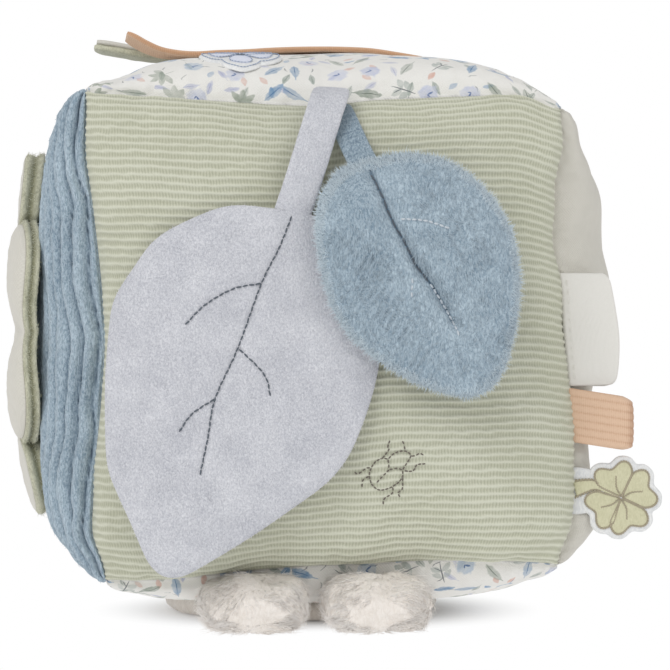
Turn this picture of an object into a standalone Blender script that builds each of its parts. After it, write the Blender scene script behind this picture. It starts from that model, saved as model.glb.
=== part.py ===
"""A soft fabric activity block for a baby, built in metres with +Z up.

The block stands on a plush pad whose flat face holds the origin. The front panel faces -Y, and the
clover panel faces -X. Each cloth panel is a crowned shell round a stuffed filling with a rattle in it.
"""

import math

import bmesh
import bpy
from mathutils import Matrix, Vector

# The block, whose panels crown between seams that draw in at their middles. The right panel has a
# waist, where it is drawn in behind its tags.
block_side = 0.130
seam_bow = 0.0035
seam_inset = 0.00025
panel_thickness = 0.0018
front_crown = 0.015
back_crown = 0.0165
side_crown = 0.018
top_crown = 0.0165
bottom_crown = 0.013
crown_fullness_share = 0.27
waist_depth = 0.0085
waist_rise = -0.028
waist_half_height = 0.020
panel_cells = 10

# The left panel is quilted in upright wales.
wale_count = 14
wale_points = 3
wale_height = 0.0015
quilted_thickness = 0.0012

# Room between pieces that touch, and between the filling and its cover.
touch_gap = 0.0003
filling_gap = 0.0007
filling_slack = 0.0010

# The filling, in an upper and a lower portion, and the rattle between them.
rattle_radius = 0.0135
rattle_wall = 0.0012
rattle_steps = 16
rattle_arc_steps = 5
rattle_room = 0.0006
pellet_radius = 0.0035
pellet_room = 0.0006

# The pad below, which the block stands on, and the two plush tabs in front of it.
pad_thickness = 0.0037
pad_radius = 0.040
pad_shift = -0.005
pad_edge_round = 0.0030
pad_steps = 24
tab_width = 0.0275
tab_height = 0.0162
tab_reach = 0.0775
tab_root_gap = 0.0005
tab_spacing = 0.035
tab_flat_depth = 0.0005
tab_round_share = 0.76
tab_opening_share = 0.20
tab_root_share = 0.70
tab_tip_share = 0.40
tab_stations = 11
tab_ring_points = 14

# The two leaves on the front, with the straps that hang them from the top seam.
strap_seam_x = 0.0015
strap_width = 0.010
strap_thickness = 0.0014
strap_steps = 8
strap_root_room = 0.0005
strap_apart = 0.0006
strap_reach = 0.0185
strap_drop = 0.0180

large_leaf_length = 0.1035
large_leaf_half_width = 0.0365
large_leaf_top_x = -0.0104
large_leaf_top_rise = 0.0318
large_leaf_lean = math.radians(19.6)
large_leaf_layer = 0.0013
large_leaf_puff = 0.0008
large_leaf_film = 0.0003
large_leaf_curl = 0.0035
large_leaf_off_panel = 0.0005
large_leaf_tip_width = 0.0040
large_leaf_widest_share = 0.37
large_leaf_upper_shares = (2.6, 0.55)
large_leaf_lower_shares = (2.3, 1.0)

small_leaf_length = 0.0690
small_leaf_half_width = 0.0254
small_leaf_top_x = 0.0080
small_leaf_top_rise = 0.0447
small_leaf_lean = math.radians(-28.3)
small_leaf_layer = 0.0013
small_leaf_wadding = 0.0016
small_leaf_puff = 0.0016
small_leaf_curl = 0.0008
small_leaf_crease = 0.0009
small_leaf_crease_width = 0.0035
small_leaf_off_large = 0.0014
small_leaf_bend = 0.0060
small_leaf_bend_share = 0.18
small_leaf_tip_width = 0.0070
small_leaf_widest_share = 0.46
small_leaf_upper_shares = (2.6, 0.45)
small_leaf_lower_shares = (2.2, 0.75)
small_strap_width = 0.0076
small_strap_thickness = 0.0012
small_strap_hinge_share = 0.75
small_strap_reach = 0.0105
small_strap_drop = 0.0070
leaf_cells_across = 10
leaf_cells_along = 12
film_margin = 0.0030
wadding_margin = 0.0060

# The clover on the left panel: four heart petals sewn down at the middle.
clover_radius = 0.053
clover_hub_radius = 0.0085
clover_hub_thickness = 0.0030
petal_layer = 0.0016
petal_puff = 0.0020
petal_sag = 0.0010
petal_side_room = 0.0004
petal_notch_share = 0.14
petal_side_share = 0.17
petal_cells_across = 10
petal_cells_along = 5

# The tags sewn into the seam between the front and the right panel.
label_height = 0.0305
label_length = 0.0145
label_layer = 0.0005
label_gap = 0.0006
label_rise = 0.0008
loop_height = 0.0152
loop_length = 0.0185
loop_layer = 0.0009
loop_gap = 0.0050
loop_rise = -0.0235
clover_patch_radius = 0.0118
clover_patch_lobe_share = 0.13
clover_patch_lobes = 8
clover_patch_thickness = 0.0014
clover_patch_stem = 0.0035
clover_patch_stem_half_width = 0.0042
clover_patch_rise = -0.0456
patch_points = 56
tag_clearance = 0.0004

# What lies on the top panel: a peach ribbon, a folded sage tab and a blossom patch.
ribbon_width = 0.0150
ribbon_thickness = 0.0016
ribbon_front_y = -0.0140
ribbon_sewn_x = 0.0290
ribbon_bend_x = -0.0400
ribbon_tip_x = -0.0565
ribbon_tip_lift = 0.0055
ribbon_steps = 10
ribbon_curl_steps = 4
top_tab_width = 0.0150
top_tab_front_y = 0.0025
top_tab_root_x = -0.0370
top_tab_length = 0.0300
top_tab_layer = 0.0017
top_tab_gap = 0.0008
top_tab_pitch = math.radians(9)
loop_steps = 8
blossom_radius = 0.0118
blossom_lobe_share = 0.20
blossom_lobes = 5
blossom_thickness = 0.0014
blossom_stem = 0.0030
blossom_stem_half_width = 0.0026
blossom_root_x = -0.0238
blossom_root_y = -0.0230
blossom_pitch = math.radians(14)
blossom_room = 0.0004

# Worked out from the sizes above.
half_side = block_side / 2
centre_height = half_side + bottom_crown + touch_gap + pad_thickness
centre = Vector((0, 0, centre_height))
reach_share = 1 - seam_inset / half_side
filling_share = 1 - (panel_thickness + filling_gap) / half_side

X = Vector((1, 0, 0))
Y = Vector((0, 1, 0))
Z = Vector((0, 0, 1))

# Each panel's two in-plane directions, whose cross product points outwards, its crown and its waist.
PANELS = {
    "front_panel": (X, Z, front_crown, 0),
    "back_panel": (-X, Z, back_crown, 0),
    "left_panel": (-Y, Z, side_crown, 0),
    "right_panel": (Y, Z, side_crown, waist_depth),
    "top_panel": (X, Y, top_crown, 0),
    "bottom_panel": (X, -Y, bottom_crown, 0),
}

# Colours in linear light, then roughness and metallic.
COLOURS = {
    "sage_rib_knit": ((0.46, 0.47, 0.37), 0.95, 0.0),
    "blue_plush": ((0.28, 0.35, 0.41), 1.0, 0.0),
    "pale_cotton": ((0.57, 0.55, 0.49), 0.95, 0.0),
    "floral_cotton": ((0.74, 0.73, 0.70), 0.95, 0.0),
    "lavender_velour": ((0.55, 0.57, 0.62), 1.0, 0.0),
    "sage_velour": ((0.45, 0.45, 0.33), 1.0, 0.0),
    "cream_cotton": ((0.62, 0.60, 0.54), 0.95, 0.0),
    "white_plush": ((0.76, 0.73, 0.69), 1.0, 0.0),
    "white_satin": ((0.70, 0.68, 0.63), 0.6, 0.0),
    "peach_ribbon": ((0.67, 0.46, 0.34), 0.85, 0.0),
    "clover_felt": ((0.58, 0.54, 0.38), 0.9, 0.0),
    "white_felt": ((0.72, 0.73, 0.76), 0.9, 0.0),
    "filling": ((0.85, 0.85, 0.83), 1.0, 0.0),
    "film": ((0.80, 0.82, 0.84), 0.3, 0.0),
    "rattle_plastic": ((0.80, 0.80, 0.78), 0.4, 0.0),
    "steel": ((0.55, 0.55, 0.56), 0.3, 1.0),
}


def clear_scene():
    """Removes every object of the startup scene."""
    for obj in list(bpy.data.objects):
        bpy.data.objects.remove(obj)


def material(name):
    """A plain Principled material with the colour that the table gives it."""
    made = bpy.data.materials.get(name)
    if made is None:
        made = bpy.data.materials.new(name)
        made.use_nodes = True
        shader = made.node_tree.nodes["Principled BSDF"]
        colour, roughness, metallic = COLOURS[name]
        shader.inputs["Base Color"].default_value = (*colour, 1.0)
        shader.inputs["Roughness"].default_value = roughness
        shader.inputs["Metallic"].default_value = metallic
    return made


def finish(bm, name, material_name, origin=None):
    """Turns a bmesh in world places into one object, whose origin is moved to the given point."""
    bmesh.ops.recalc_face_normals(bm, faces=bm.faces)
    if bm.calc_volume(signed=True) < 0:
        bmesh.ops.reverse_faces(bm, faces=bm.faces)
    if origin is not None:
        bmesh.ops.translate(bm, verts=bm.verts, vec=-origin)
    mesh = bpy.data.meshes.new(name)
    bm.to_mesh(mesh)
    bm.free()
    mesh.shade_smooth()
    mesh.set_sharp_from_angle(angle=math.radians(40))
    mesh.materials.append(material(material_name))
    obj = bpy.data.objects.new(name, mesh)
    if origin is not None:
        obj.location = origin
    bpy.context.scene.collection.objects.link(obj)
    return obj


def closer_to_rim(share):
    """A share from -1 to 1 moved towards the nearer end, where a crowned face is steep."""
    return math.sin(math.pi * share / 2)


def square_grid(bm, cells_u, cells_v):
    """Adds a flat grid from -1 to 1 of triangles, whose long sides all run towards its middle."""
    made = bmesh.ops.create_grid(bm, x_segments=cells_u, y_segments=cells_v, size=1)
    faces = {face for vert in made["verts"] for face in vert.link_faces}
    for method, sign in (("FIXED", 1), ("ALTERNATE", -1)):
        chosen = []
        for face in faces:
            middle = face.calc_center_median()
            if middle.x * middle.y * sign > 0:
                chosen.append(face)
        bmesh.ops.triangulate(bm, faces=chosen, quad_method=method)
        faces -= set(chosen)
    bmesh.ops.triangulate(bm, faces=list(faces), quad_method="FIXED")
    return made["verts"]


def shell(cells_u, cells_v, outer, inner):
    """A closed sheet between two surfaces, each a function of u and v from -1 to 1."""
    bm = bmesh.new()
    square_grid(bm, cells_u, cells_v)
    made = bmesh.ops.extrude_face_region(bm, geom=bm.faces[:], use_keep_orig=True)
    lifted = {item for item in made["geom"] if isinstance(item, bmesh.types.BMVert)}
    for vert in bm.verts:
        place = outer if vert in lifted else inner
        vert.co = place(vert.co.x, vert.co.y)
    return bm


def band(path, sides, width, thickness):
    """A flat strap swept along a path, with its width along the side direction of each point."""
    bm = bmesh.new()
    rings = []
    for index, (point, side) in enumerate(zip(path, sides)):
        before = path[max(index - 1, 0)]
        after = path[min(index + 1, len(path) - 1)]
        up = side.cross(after - before).normalized()
        rings.append([
            bm.verts.new(point + side * across * width / 2 + up * over * thickness / 2)
            for across, over in ((-1, -1), (1, -1), (1, 1), (-1, 1))
        ])
    for ring, following in zip(rings, rings[1:]):
        for corner in range(len(ring)):
            nearby = (corner + 1) % len(ring)
            bm.faces.new((ring[corner], ring[nearby], following[nearby], following[corner]))
    bm.faces.new(rings[0])
    bm.faces.new(rings[-1])
    return bm


def plate(loops, direction, depth):
    """An outline, with any holes, extruded by a depth along a direction."""
    bm = bmesh.new()
    edges = []
    for loop in loops:
        verts = [bm.verts.new(point) for point in loop]
        edges += [bm.edges.new((vert, verts[(i + 1) % len(verts)])) for i, vert in enumerate(verts)]
    bmesh.ops.triangle_fill(bm, use_beauty=True, use_dissolve=False, edges=edges)
    made = bmesh.ops.extrude_face_region(bm, geom=bm.faces[:], use_keep_orig=True)
    lifted = [item for item in made["geom"] if isinstance(item, bmesh.types.BMVert)]
    bmesh.ops.translate(bm, verts=lifted, vec=direction * depth)
    return bm


def boolean(obj, cutter):
    """Cuts the cutter from the object, and hides the cutter from the render."""
    cutter.hide_render = True
    cutter.display_type = "WIRE"
    cut = obj.modifiers.new("cut", "BOOLEAN")
    cut.operation = "DIFFERENCE"
    cut.object = cutter


# The block


def crown(u, v):
    """The share of a panel's crown at shares u and v of its half side."""
    return max((1 - u * u) * (1 - v * v), 0) ** crown_fullness_share


def waist(v):
    """The share of a panel's waist at share v of its half side: level in the middle, gone beyond."""
    return math.exp(-((v * half_side - waist_rise) / waist_half_height) ** 4)


def panel_point(u, v, axes, rise):
    """A point of a panel's outer face, seen from the block's centre."""
    across, up, _, depth = axes
    along = half_side * u - seam_bow * u * (1 - v * v)
    height = half_side * v - seam_bow * v * (1 - u * u)
    drawn_in = seam_bow * ((1 - v * v) * u * u + (1 - u * u) * v * v)
    out = half_side - drawn_in + (rise - depth * waist(v)) * crown(u, v)
    return across * along + up * height + across.cross(up) * out


def panel_height(along, height, rise):
    """How far out a panel's face lies above a point of its plane, from the block's centre."""
    v = height / half_side
    for _ in range(6):
        u = along / (half_side - seam_bow * (1 - v * v))
        v = height / (half_side - seam_bow * (1 - u * u))
    drawn_in = seam_bow * ((1 - v * v) * u * u + (1 - u * u) * v * v)
    return half_side - drawn_in + rise * crown(u, v)


def wale(u):
    """The height of the quilted wales at share u: round ridges between narrow sewn grooves."""
    return wale_height * math.sqrt(abs(math.sin(math.pi * wale_count * (u + 1) / 2)))


def build_panel(name, material_name):
    """One crowned cloth panel, whose rim stops just short of the corner planes."""
    axes = PANELS[name]
    across, up, rise, _ = axes

    def face(u, v, share):
        point = panel_point(u, v, axes, rise)
        inset = across * point.dot(across) + up * point.dot(up)
        return centre + (point - inset * (1 - reach_share)) * share

    def outer(u, v):
        point = face(u, v, 1)
        if name == "left_panel":
            point += (point - centre).normalized() * wale(u)
        return point

    quilted = name == "left_panel"
    cells = wale_count * wale_points if quilted else panel_cells
    spread = (lambda u: u) if quilted else closer_to_rim
    lining_share = 1 - (quilted_thickness if quilted else panel_thickness) / half_side
    bm = shell(
        cells, panel_cells, lambda u, v: outer(spread(u), closer_to_rim(v)),
        lambda u, v: face(spread(u), closer_to_rim(v), lining_share),
    )
    return finish(bm, name, material_name)


def puffed_cube():
    """The filling's whole form: a cube whose faces take the same crowns as the panels."""
    bm = bmesh.new()
    for axes in PANELS.values():
        for vert in square_grid(bm, panel_cells, panel_cells):
            u, v = closer_to_rim(vert.co.x), closer_to_rim(vert.co.y)
            point = panel_point(u, v, axes, axes[2] - filling_slack)
            vert.co = centre + point * filling_share
    bmesh.ops.remove_doubles(bm, verts=bm.verts, dist=touch_gap / 10)
    return bm


def build_filling(rattle_hollow):
    """The two portions of filling, which meet at mid height and close round the rattle."""
    for name, side in (("filling_upper", 1), ("filling_lower", -1)):
        bm = puffed_cube()
        bmesh.ops.bisect_plane(
            bm, geom=bm.verts[:] + bm.edges[:] + bm.faces[:], dist=touch_gap / 10,
            plane_co=centre + Z * side * touch_gap / 2, plane_no=-Z * side, clear_outer=True,
        )
        rim = [edge for edge in bm.edges if edge.is_boundary]
        bmesh.ops.holes_fill(bm, edges=rim, sides=len(rim))
        portion = finish(bm, name, "filling")
        boolean(portion, rattle_hollow)


def turned(profile, steps):
    """A profile in the XZ plane turned once about the vertical axis through the block's centre."""
    bm = bmesh.new()
    verts = [bm.verts.new(centre + point) for point in profile]
    edges = [bm.edges.new(pair) for pair in zip(verts, verts[1:])]
    bmesh.ops.spin(
        bm, geom=verts + edges, cent=centre, axis=Z, angle=math.tau, steps=steps, use_merge=True,
    )
    bmesh.ops.remove_doubles(bm, verts=bm.verts, dist=touch_gap / 100)
    return bm


def arc(radius, start, end, steps):
    """Points of an arc in the XZ plane about the block's centre, by angle above the horizon."""
    turn = [start + (end - start) * step / steps for step in range(steps + 1)]
    return [Vector((radius * math.cos(a), 0, radius * math.sin(a))) for a in turn]


def build_rattle():
    """Two plastic cups that close into a ball, with a steel pellet that rolls inside."""
    inner_radius = rattle_radius - rattle_wall
    for name, side in (("rattle_cup_upper", 1), ("rattle_cup_lower", -1)):
        level = touch_gap / 2
        outer_low = math.asin(level / rattle_radius)
        inner_low = math.asin(level / inner_radius)
        profile = arc(rattle_radius, math.pi / 2, outer_low, rattle_arc_steps)
        profile += arc(inner_radius, inner_low, math.pi / 2, rattle_arc_steps)
        profile = [Vector((p.x, 0, p.z * side)) for p in profile]
        finish(turned(profile, rattle_steps), name, "rattle_plastic")
    rest = centre - Z * (inner_radius - pellet_radius - pellet_room)
    bm = bmesh.new()
    bmesh.ops.create_icosphere(bm, subdivisions=2, radius=pellet_radius, matrix=Matrix.Translation(rest))
    finish(bm, "rattle_pellet", "steel", centre)


def build_block():
    """The six panels, the filling and the rattle."""
    build_panel("front_panel", "sage_rib_knit")
    build_panel("back_panel", "sage_rib_knit")
    build_panel("left_panel", "blue_plush")
    build_panel("right_panel", "pale_cotton")
    build_panel("top_panel", "floral_cotton")
    build_panel("bottom_panel", "floral_cotton")
    bm = bmesh.new()
    bmesh.ops.create_uvsphere(
        bm, u_segments=rattle_steps, v_segments=2 * rattle_arc_steps,
        radius=rattle_radius + rattle_room, matrix=Matrix.Translation(centre),
    )
    build_filling(finish(bm, "rattle_hollow", "filling"))
    build_rattle()


# The pad and the plush tabs below


def pad_top(x, y):
    """The pad's upper face, which lies against the crown of the bottom panel."""
    return centre_height - panel_height(x, -y, bottom_crown) - touch_gap


def build_pad():
    """A round plush pad, flat below, dished above to the block, with a rounded rim."""
    bm = bmesh.new()
    rim_height = pad_top(pad_shift + pad_radius, 0) / 2
    rings = []
    for share in (1 / 4, 1 / 2, 3 / 4, 1):
        radius = (pad_radius - pad_edge_round) * share
        rings.append((radius, None))
    rings += [(pad_radius, rim_height), (pad_radius - pad_edge_round, 0), (pad_radius / 2, 0)]
    loops = []
    for radius, height in rings:
        loop = []
        for step in range(pad_steps):
            turn = math.tau * step / pad_steps
            x = pad_shift + radius * math.cos(turn)
            y = radius * math.sin(turn)
            loop.append(bm.verts.new((x, y, pad_top(x, y) if height is None else height)))
        loops.append(loop)
    for loop, following in zip(loops, loops[1:]):
        for step in range(pad_steps):
            nearby = (step + 1) % pad_steps
            bm.faces.new((loop[step], loop[nearby], following[nearby], following[step]))
    bm.faces.new(loops[-1])
    top = bm.verts.new((pad_shift, 0, pad_top(pad_shift, 0)))
    for step in range(pad_steps):
        bm.faces.new((top, loops[0][step], loops[0][(step + 1) % pad_steps]))
    finish(bm, "base_pad", "white_plush")


def tab_root_y():
    """Where the tabs start, just in front of the pad."""
    inner = (tab_spacing - tab_width) / 2
    return -math.sqrt(pad_radius ** 2 - inner ** 2) - tab_root_gap


def below_block(x, y):
    """The height of the bottom panel's face above the floor, or none where the block ends."""
    u, v = x / half_side, y / half_side
    reach_x = half_side - seam_bow * (1 - v * v)
    reach_y = half_side - seam_bow * (1 - u * u)
    if abs(x) >= reach_x or abs(y) >= reach_y:
        return None
    return pad_top(x, y)


def tab_section(share):
    """The half width and the height of a plush tab at a share of its length."""
    past = max(share - tab_round_share, 0) / (1 - tab_round_share)
    rounding = math.sqrt(max(1 - past ** 2, 0))
    opening = min(share / tab_opening_share, 1)
    half_width = tab_width / 2 * (tab_root_share + (1 - tab_root_share) * opening)
    return half_width * (tab_tip_share + (1 - tab_tip_share) * rounding), tab_height * (
        tab_tip_share + (1 - tab_tip_share) * rounding
    )


def build_tab(name, x):
    """A plush tab under the block with a round tip, cut flat where it lies on the floor."""
    bm = bmesh.new()
    root = tab_root_y()
    loops = []
    for station in range(tab_stations):
        share = station / (tab_stations - 1)
        half_width, height = tab_section(share)
        y = root - (tab_reach + root) * share
        low = -tab_flat_depth
        loop = []
        for step in range(tab_ring_points):
            turn = math.tau * (step + 0.5) / tab_ring_points
            side = x + half_width * math.cos(turn)
            z = max(low + (height - low) * (1 + math.sin(turn)) / 2, 0)
            limit = below_block(side, y)
            if limit is not None:
                z = min(z, limit - tab_root_gap * abs(math.sin(turn)) - touch_gap * z / height)
            loop.append(bm.verts.new((side, y, z)))
        loops.append(loop)
    for loop, following in zip(loops, loops[1:]):
        for step in range(tab_ring_points):
            nearby = (step + 1) % tab_ring_points
            bm.faces.new((loop[step], loop[nearby], following[nearby], following[step]))
    bm.faces.new(loops[0])
    bm.faces.new(loops[-1])
    bmesh.ops.remove_doubles(bm, verts=bm.verts, dist=touch_gap / 100)
    finish(bm, name, "white_plush", Vector((x, root, tab_root_gap)))


# The leaves


def leaf_half_width(share, half_width, widest, upper, lower, root_width, tip_width):
    """The half width of a leaf at a share of its length: two power curves that meet at the widest."""
    if share < widest:
        power, fullness = upper
        rest = (widest - share) / widest
        least = root_width / 2
    else:
        power, fullness = lower
        rest = (share - widest) / (1 - widest)
        least = tip_width / 2
    swell = max(1 - rest ** power, 0) ** fullness
    return least + (half_width - least) * swell


def large_leaf_width(share):
    """The large leaf's half width at a share of its length."""
    return leaf_half_width(
        share, large_leaf_half_width, large_leaf_widest_share, large_leaf_upper_shares,
        large_leaf_lower_shares, strap_width, large_leaf_tip_width,
    )


def small_leaf_width(share):
    """The small leaf's half width at a share of its length."""
    return leaf_half_width(
        share, small_leaf_half_width, small_leaf_widest_share, small_leaf_upper_shares,
        small_leaf_lower_shares, small_strap_width, small_leaf_tip_width,
    )


def large_leaf_frame():
    """The large leaf's top point on its middle layer, its way down and its way across."""
    thickness = 2 * large_leaf_layer + large_leaf_film + 2 * touch_gap
    y = -(half_side + front_crown + large_leaf_off_panel + thickness / 2)
    top = Vector((large_leaf_top_x, y, centre_height + large_leaf_top_rise))
    down = Vector((-math.sin(large_leaf_lean), 0, -math.cos(large_leaf_lean)))
    return top, down, Y.cross(down)


def small_leaf_frame():
    """The small leaf's top point on its middle layer, its way down and its way across."""
    large_top, _, _ = large_leaf_frame()
    under = large_leaf_film / 2 + touch_gap + large_leaf_layer + large_leaf_puff
    half = small_leaf_wadding / 2 + touch_gap + small_leaf_layer
    y = large_top.y - under - small_leaf_off_large - half
    top = Vector((small_leaf_top_x, y, centre_height + small_leaf_top_rise))
    down = Vector((-math.sin(small_leaf_lean), 0, -math.cos(small_leaf_lean)))
    return top, down, Y.cross(down)


def leaf_layer(leaf, low, high, margin=0.0):
    """A layer of a leaf between two depths, each a function of u and v, in front of its middle."""
    (top, down, across), length, width, curl, bend = leaf

    def place(u, v, depth):
        share = (v + 1) / 2
        run = min(max(length * share, margin), length - margin)
        side = u * max(width(run / length) - margin, margin)
        back = curl(side) + bend(run / length)
        return top + down * run + across * side + Y * (back - depth(u, v))

    return shell(
        leaf_cells_across, leaf_cells_along,
        lambda u, v: place(u, v, high), lambda u, v: place(u, v, low),
    )


def puff(u, v):
    """The swell of a padded leaf: full in its middle and nothing at its sewn rim."""
    return math.sqrt(max((1 - u * u) * (1 - v * v), 0))


def build_large_leaf():
    """Two layers of velour with a crinkle film between them, which droop at the left."""
    leaf = (
        large_leaf_frame(), large_leaf_length, large_leaf_width,
        lambda side: large_leaf_curl * (max(side, 0) / large_leaf_half_width) ** 2, lambda share: 0.0,
    )
    half_film = large_leaf_film / 2
    start = half_film + touch_gap
    end = start + large_leaf_layer
    hinge = large_leaf_hinge()
    front = leaf_layer(leaf, lambda u, v: start, lambda u, v: end + large_leaf_puff * puff(u, v))
    finish(front, "large_leaf_front", "lavender_velour", hinge)
    film = leaf_layer(leaf, lambda u, v: -half_film, lambda u, v: half_film, film_margin)
    finish(film, "large_leaf_crinkle_film", "film", hinge)
    back = leaf_layer(leaf, lambda u, v: -end, lambda u, v: -start)
    finish(back, "large_leaf_back", "lavender_velour", hinge)


def small_leaf_back(share):
    """How far the small leaf's upper end bends back towards its strap, at a share of its length."""
    return small_leaf_bend * max(1 - share / small_leaf_bend_share, 0) ** 2


def build_small_leaf():
    """Two layers of plush round a wadding, with a crease sewn along the middle."""
    leaf = (
        small_leaf_frame(), small_leaf_length, small_leaf_width,
        lambda side: small_leaf_curl * (side / small_leaf_half_width) ** 2, small_leaf_back,
    )
    half = small_leaf_wadding / 2
    start = half + touch_gap
    end = start + small_leaf_layer
    hinge = small_leaf_hinge()

    def swell(u, v):
        return small_leaf_puff * puff(u, v)

    def creased(u, v):
        side = u * small_leaf_width((v + 1) / 2)
        crease = small_leaf_crease * math.exp(-((side / small_leaf_crease_width) ** 2))
        return end + swell(u, v) - crease * (1 - v ** 4)

    front = leaf_layer(leaf, lambda u, v: start + swell(u, v), creased)
    finish(front, "small_leaf_front", "blue_plush", hinge)
    wadding = leaf_layer(
        leaf, lambda u, v: -half, lambda u, v: half + swell(u, v) / 2, wadding_margin,
    )
    finish(wadding, "small_leaf_wadding", "filling", hinge)
    back = leaf_layer(leaf, lambda u, v: -end, lambda u, v: -start)
    finish(back, "small_leaf_back", "blue_plush", hinge)


def strap_seam():
    """Where both straps leave the seam between the front and the top panel."""
    return Vector((strap_seam_x, -half_side + seam_bow, centre_height + half_side - seam_bow))


def large_leaf_hinge():
    """A point of the line that the large leaf swings about, just outside the top front seam."""
    radius = (strap_thickness + small_strap_thickness + strap_apart) / 2
    return strap_seam() + (Z - Y).normalized() * (radius + strap_root_room)


def curve_point(handles, share):
    """The point at a share of the smooth curve that its handles draw."""
    points = handles
    while len(points) > 1:
        points = [a.lerp(b, share) for a, b in zip(points, points[1:])]
    return points[0]


def hanging_path(start, end, down, reach, drop):
    """A strap's middle line: it leaves its start forwards, arches over and comes down on its end."""
    handles = [start, start - Y * reach, end - down * drop, end]
    return [curve_point(handles, step / strap_steps) for step in range(strap_steps + 1)]


def large_strap_path():
    """The large leaf's strap, which lies over the other."""
    top, down, _ = large_leaf_frame()
    start = large_leaf_hinge() + Z * (small_strap_thickness + strap_apart) / 2
    return hanging_path(start, top - down * touch_gap, down, strap_reach, strap_drop)


def small_strap_path():
    """The small leaf's strap, which leaves the seam below the other and then comes forward."""
    top, down, _ = small_leaf_frame()
    slope = 2 * small_leaf_bend / (small_leaf_bend_share * small_leaf_length)
    down = (down - Y * slope).normalized()
    start = large_leaf_hinge() - Z * (strap_thickness + strap_apart) / 2
    end = top + Y * small_leaf_bend - down * 2 * touch_gap
    return hanging_path(start, end, down, small_strap_reach, small_strap_drop)


def strap_sides(across):
    """The way across a strap at each point: along the seam at first, and at last square to a leaf."""
    return [X.lerp(across, step / strap_steps).normalized() for step in range(strap_steps + 1)]


def small_leaf_hinge():
    """Where the small leaf's strap bends, below the edge of the strap that covers it."""
    return small_strap_path()[round(small_strap_hinge_share * strap_steps)]


def build_straps():
    """The large leaf's strap, and the small leaf's strap in a part above its bend and one below."""
    _, _, across = large_leaf_frame()
    strap = band(large_strap_path(), strap_sides(-across), strap_width, strap_thickness)
    finish(strap, "large_leaf_strap", "lavender_velour", large_leaf_hinge())
    _, _, across = small_leaf_frame()
    path = small_strap_path()
    sides = strap_sides(-across)
    bend = round(small_strap_hinge_share * strap_steps)
    run = (path[bend + 1] - path[bend - 1]).normalized()
    room = run * (small_strap_thickness / 2 + touch_gap)
    upper_path = path[:bend] + [path[bend] - room]
    upper = band(upper_path, sides[:bend + 1], small_strap_width, small_strap_thickness)
    finish(upper, "small_leaf_strap_upper", "blue_plush", large_leaf_hinge())
    lower = band(path[bend:], sides[bend:], small_strap_width, small_strap_thickness)
    finish(lower, "small_leaf_strap_lower", "blue_plush", small_leaf_hinge())


# The clover


def clover_middle(radius):
    """How far out the clover's middle layer lies at a distance from its centre."""
    flat = half_side + side_crown + wale_height + touch_gap + petal_layer + touch_gap
    return flat + touch_gap - petal_sag * (radius / clover_radius) ** 2


def petal_spot(u, v):
    """A place of a heart petal, which fills a quarter turn: its run from the centre and its side."""
    turn = u * math.pi / 4
    notch = petal_notch_share * math.cos(math.pi * u / 2) ** 6
    sides = petal_side_share * abs(u) ** 4
    root = clover_hub_radius + touch_gap
    reach = root + (clover_radius * (1 - notch - sides) - root) * (v + 1) / 2
    return reach * math.cos(turn), reach * math.sin(turn) - u * petal_side_room


def build_petal(name, direction):
    """One heart petal: a cream outer layer with a puffed face, and a velour backing."""
    across = (-X).cross(direction)
    half_gap = touch_gap / 2
    root = clover_hub_radius + touch_gap
    hinge = centre - X * (clover_middle(root) + half_gap + petal_layer) + direction * root

    def place(u, v, depth):
        run, side = petal_spot(u, v)
        return centre + direction * run + across * side - X * (clover_middle(math.hypot(run, side)) + depth)

    layers = (
        ("outer", "cream_cotton", half_gap, half_gap + petal_layer, petal_puff),
        ("backing", "sage_velour", -half_gap - petal_layer, -half_gap, 0.0),
    )
    for layer, material_name, low, high, swell in layers:
        bm = shell(
            petal_cells_across, petal_cells_along,
            lambda u, v: place(u, v, high + swell * puff(u, v)), lambda u, v: place(u, v, low),
        )
        finish(bm, f"clover_petal_{name}_{layer}", material_name, hinge)


def build_clover():
    """The four petals and the round patch that holds them to the left panel."""
    for name, direction in (("up", Z), ("down", -Z), ("front", -Y), ("back", Y)):
        build_petal(name, direction)
    start = half_side + side_crown + wale_height + touch_gap
    outline = []
    for step in range(pad_steps):
        turn = math.tau * step / pad_steps
        rim = Y * math.cos(turn) + Z * math.sin(turn)
        outline.append(centre - X * start + rim * (clover_hub_radius - touch_gap))
    finish(plate([outline], -X, clover_hub_thickness), "clover_hub", "cream_cotton")


# The tags in the front right seam


def side_seam(rise):
    """The seam between the front and the right panel at a height above the block's centre."""
    share = rise / half_side
    reach = half_side - seam_bow * (1 - share * share)
    return Vector((reach, -reach, centre_height + rise))


def fold_outline(length, half_root, half_tip, steps):
    """One layer of a folded tag, as run and offset pairs from its sewn root round its fold."""
    straight = length - half_tip
    side = []
    for step in range(steps + 1):
        share = step / steps
        side.append((straight * share, half_root + (half_tip - half_root) * math.sin(math.pi / 2 * share)))
    fold = []
    for step in range(1, steps):
        turn = math.pi / 2 - math.pi * step / steps
        fold.append((straight + half_tip * math.cos(turn), half_tip * math.sin(turn)))
    return side + fold + [(run, -offset) for run, offset in reversed(side)]


def folded_tag(root, run, out, side, length, width, layer, gap):
    """A ribbon folded into a loop, whose two ends are sewn together at its root."""
    outer = fold_outline(length, layer, layer + gap / 2, loop_steps)
    pinch = 2 * layer
    inner = [
        (pinch + step, offset)
        for step, offset in fold_outline(length - layer - pinch, 0, gap / 2, loop_steps)
    ][1:-1]
    loops = [
        [root + run * step + out * offset - side * width / 2 for step, offset in outline]
        for outline in (outer, [(pinch, 0)] + inner)
    ]
    return plate(loops, side, width)


def tag_root(rise, thickness):
    """Where a tag starts, just outside the seam and clear of both panels, and its sewn point."""
    seam = side_seam(rise)
    step = tag_clearance + thickness / 2
    return seam + X * tag_clearance - Y * step


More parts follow.
